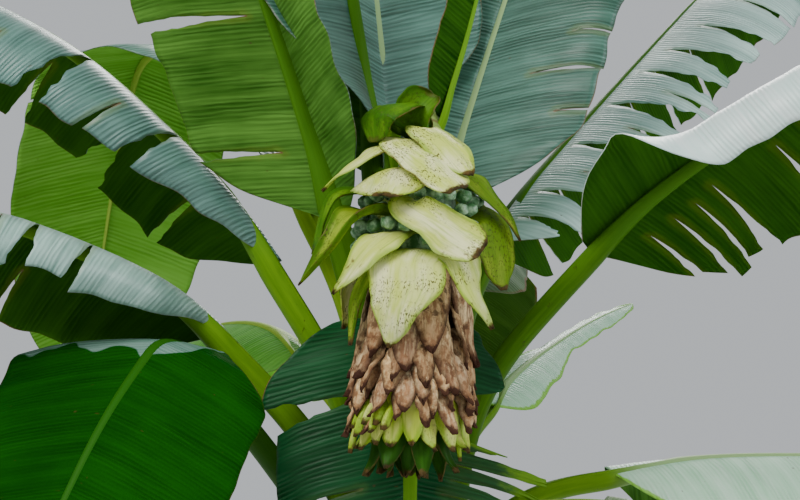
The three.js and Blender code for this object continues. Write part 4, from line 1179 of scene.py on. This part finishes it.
# %% Fruit
def fruit_finish():
    skin = Finish("young_fruit")
    place = skin.place()
    bloom = skin.cloud(place, 38.0, 4.0, 0.6)
    dust = skin.cloud(place, 160.0, 3.0, 0.6)
    # The pale bloom is partly the berries' real wax bloom and partly painted highlight.
    colour = skin.mix(bloom.between(0.40, 0.66), (0.050, 0.175, 0.050), (0.46, 0.68, 0.44))
    colour = skin.mix(dust.between(0.60, 0.70) * 0.4, colour, (0.05, 0.035, 0.02))
    return skin.wear(colour, bloom * 0.3 + 0.32, dust * 0.4 + bloom * 0.4, 0.0008, 0.1)


def add_core(shape, z, low_radius, high_radius, tall, around):
    """A plain cone inside the head, round a height in millimetres, so that no gap shows through."""
    core = bmesh.ops.create_cone(shape, cap_ends=True, segments=around, radius1=low_radius,
                                 radius2=high_radius, depth=tall)
    for corner in core["verts"]:
        corner.co += head_at(z)


BERRY_RINGS = [   # height, distance out and first turn
    (3224, 146, 0), (3186, 160, 8), (3148, 162, 3), (3110, 154, 10), (3262, 124, 6), (3074, 144, 4)]
BERRIES_TO_A_RING = 23
BERRY_RADIUS = 0.0192              # metres
BRACT_CLEARANCE = 0.017

shape = bmesh.new()
taken = KDTree(len(bract_places))            # a berry keeps clear of the bracts that grow between them
for number, place in enumerate(bract_places):
    taken.insert(place, number)
taken.balance()
berries = 0
dice = random.Random(41)
for z, out, lag in BERRY_RINGS:
    for k in range(BERRIES_TO_A_RING):
        turn = k * 360 / BERRIES_TO_A_RING + lag + dice.uniform(-2, 2)
        at = round_head(turn, out + dice.uniform(-6, 6), z + dice.uniform(-6, 6))
        if taken.find(at)[2] < BRACT_CLEARANCE:
            continue
        away = (heading(turn) + Vector((0, 0, dice.uniform(-0.45, 0.1)))).normalized()
        side = away.cross(Vector((0, 0, 1))).normalized()
        up = side.cross(away)
        ball = bmesh.ops.create_icosphere(shape, subdivisions=2, radius=1)
        size = dice.uniform(0.92, 1.06)
        for corner in ball["verts"]:
            x, y, w = corner.co
            squeeze = 0.90 + 0.10 * math.cos(5 * math.atan2(w, y) + k)
            long = 1.45 * x if x > 0 else 1.3 * x
            blunt = 1 - 0.16 * max(x, 0) ** 6
            corner.co = at + (away * long * blunt + (side * y + up * w) * squeeze) * BERRY_RADIUS * size
        for face in {face for corner in ball["verts"] for face in corner.link_faces}:
            face.smooth = True
        berries += 1
add_core(shape, 3175, 0.112, 0.080, 0.20, 32)
finish_piece("young_fruit", shape, [fruit_finish()], ["fruit"])
print("berries:", berries)

# %% [markdown]
# ## Dried bracts
# Below the fruit the older bracts have dried to tan and mauve-brown shingles, laid in rows like roof
# tiles, each with a dark curling tip. The same pointed sheet makes them, laid close to the cone of the
# head. Every scale gets its own lift, twist and ragged margin from a seeded dice.

# %% Dry finish
def dry_finish(name, pale, tan, rust, grey, dark):
    skin = Finish(name)
    across, along = skin.along("grain")
    margin, tip = skin.along("edge")
    chance, other = skin.along("kind")
    veins = skin.cloud(skin.map_point(across * 150, along * 16), 1.0, 4.0, 0.65)
    folds = skin.cloud(skin.map_point(across * 60, along * 34), 1.0, 4.0, 0.65)
    patches = skin.cloud(skin.place(), 34.0, 4.0, 0.65)
    fray = skin.cloud(skin.place(), 70.0, 4.0, 0.65)
    colour = skin.mix(chance.between(0.2, 0.9), tan, grey)
    # The pale streaks on the raised veins are partly paler dry tissue and partly painted highlight.
    colour = skin.mix(veins.between(0.40, 0.62) * (1 - other * 0.6), colour, pale)
    colour = skin.mix(folds.between(0.44, 0.60) * 0.75, colour, rust)
    # Dark patches here, and the dark tips and margins below, are partly the scales' own dark maroon and
    # partly painted shade in the gaps between the scales.
    colour = skin.mix(patches.between(0.50, 0.64) * 0.80, colour, dark)
    low = 1 - (tip - fray * 0.05 - patches * 0.07).between(-0.03, 0.050)
    colour = skin.mix(low * 0.55, colour, rust)
    end = 1 - (tip - fray * 0.04).between(-0.012, 0.012)
    rim = 1 - (margin - fray * 0.016).between(-0.008, 0.008)
    colour = skin.mix((end * 0.8 + rim * 0.8).up_to(1.0), colour, dark)
    return skin.wear(colour, 0.8, veins * 0.7 + folds * 1.2 + patches * 0.6, 0.0060, shine=0.15)


dry_skin = dry_finish("dry_bract", (1.00, 0.86, 0.50), (0.94, 0.64, 0.30), (0.38, 0.18, 0.075),
                      (0.50, 0.33, 0.20), (0.060, 0.024, 0.013))
older_skin = dry_finish("older_dry_bract", (0.94, 0.70, 0.38), (0.60, 0.38, 0.18), (0.24, 0.105, 0.045),
                        (0.32, 0.20, 0.125), (0.045, 0.017, 0.009))
fresh_skin = bract_finish("fresh_bract", (0.88, 0.92, 0.26), (0.56, 0.70, 0.05), (0.20, 0.42, 0.006), 0.3)

# %% Rows of scales
def scale_path(turn, high, top, low, rim, flare):
    """A line down the cone of the head: from inside at the top, out over a shoulder, down to the tip."""
    points = [round_head(turn, top * 0.55, high + 18), round_head(turn, top, high),
              round_head(turn, rim - 4, (high + low) / 2), round_head(turn, rim + flare, low)]

    def path(t):
        s = min(t * 3, 2.9999)
        k, u = int(s), s - int(s)
        return points[k].lerp(points[k + 1], u)
    return lambda t: (path(max(t - 0.09, 0)) + path(t) * 2 + path(min(t + 0.09, 1))) * 0.25


def add_row(shape, count, first, high, top, low, rim, wide, seed, flare=6.0, columns=8, rows=18,
            loose=1.0, blunt=0.3, cup=(0.25, 0.60), crumple=0.0):
    """A ring of scales; loose tells how far each one strays from its place, size and turn."""
    dice = random.Random(seed)
    for k in range(count):
        turn = first + 360 * k / count + dice.uniform(-4, 4) * loose
        path = scale_path(turn, high + dice.uniform(-8, 8), top, low + dice.uniform(-24, 16) * loose,
                          rim + dice.uniform(-5, 5), flare + dice.uniform(-8, 12) * loose)
        add_pointed_sheet(shape, path, heading(turn + dice.uniform(-14, 14) * loose),
                          wide * MM * dice.uniform(0.78, 1.20), dice.uniform(*cup), seed + k, columns, rows,
                          dice.uniform(-24, 24) * loose, dice.uniform(-0.4, 0.7), 1.3, blunt, crumple=crumple)


DRY_ROWS = {   # count, first turn, height and distance of the shoulder, height and distance of the tip, width
    "dry_bracts_upper": [(6, 284, 3070, 112, 2790, 152, 126), (9, 262, 2960, 120, 2756, 155, 92),
                         (12, 250, 2880, 124, 2722, 158, 72)],
    "dry_bracts_lower": [(13, 248, 2830, 126, 2690, 160, 66), (14, 262, 2790, 128, 2656, 162, 62),
                         (13, 254, 2750, 126, 2624, 160, 60)]}
for name, rows in DRY_ROWS.items():
    shape = bmesh.new()
    for number, row in enumerate(rows):
        add_row(shape, *row, 900 + 40 * number + len(name), blunt=0.12, cup=(0.30, 0.75), crumple=0.010,
                rows=24)
    finish_bracts(name, shape, older_skin if name == "dry_bracts_upper" else dry_skin, 0.0028)

# %% Fresh tips and the green bracts inside
shape = bmesh.new()
add_row(shape, 8, 272, 2760, 112, 2576, 142, 88, 1300, 2.0, blunt=0.15)
add_row(shape, 8, 294, 2735, 100, 2566, 130, 76, 1350, 8.0, loose=1.2, blunt=0.15)
for k in range(6):                           # pale young flowers that show under a lifted bract
    turn = 208 + 8 * k + dice.uniform(-3, 3)
    top, low = 2722 - 4 * k, 2640 - 22 * (k % 2) + dice.uniform(-10, 6)
    path = path_through([round_head(turn, 128, top), round_head(turn, 160, (top + low) / 2),
                         round_head(turn - 3, 168, low)])
    add_pointed_sheet(shape, path, heading(turn), 0.025, 1.1, 1500 + k, 8, 10, blunt=1.0, full=0.4, wavy=0.1)
finish_bracts("fresh_bracts", shape, fresh_skin, 0.0045)
inner_skin = bract_finish("inner_bract", (0.035, 0.145, 0.006), (0.018, 0.095, 0.003), (0.008, 0.050, 0.001),
                          0.2)
shape = bmesh.new()
add_row(shape, 7, 240, 2690, 86, 2514, 104, 84, 1400, 4.0, loose=0.9, blunt=0.2)
add_row(shape, 5, 262, 2650, 62, 2508, 60, 62, 1450, -24.0, loose=0.5)
add_core(shape, 2590, 0.018, 0.058, 0.13, 24)
finish_bracts("inner_bracts", shape, inner_skin, 0.004)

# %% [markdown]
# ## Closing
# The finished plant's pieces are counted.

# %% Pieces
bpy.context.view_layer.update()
pieces = [piece for piece in bpy.data.objects if piece.type == "MESH"]
print("pieces:", len(pieces))
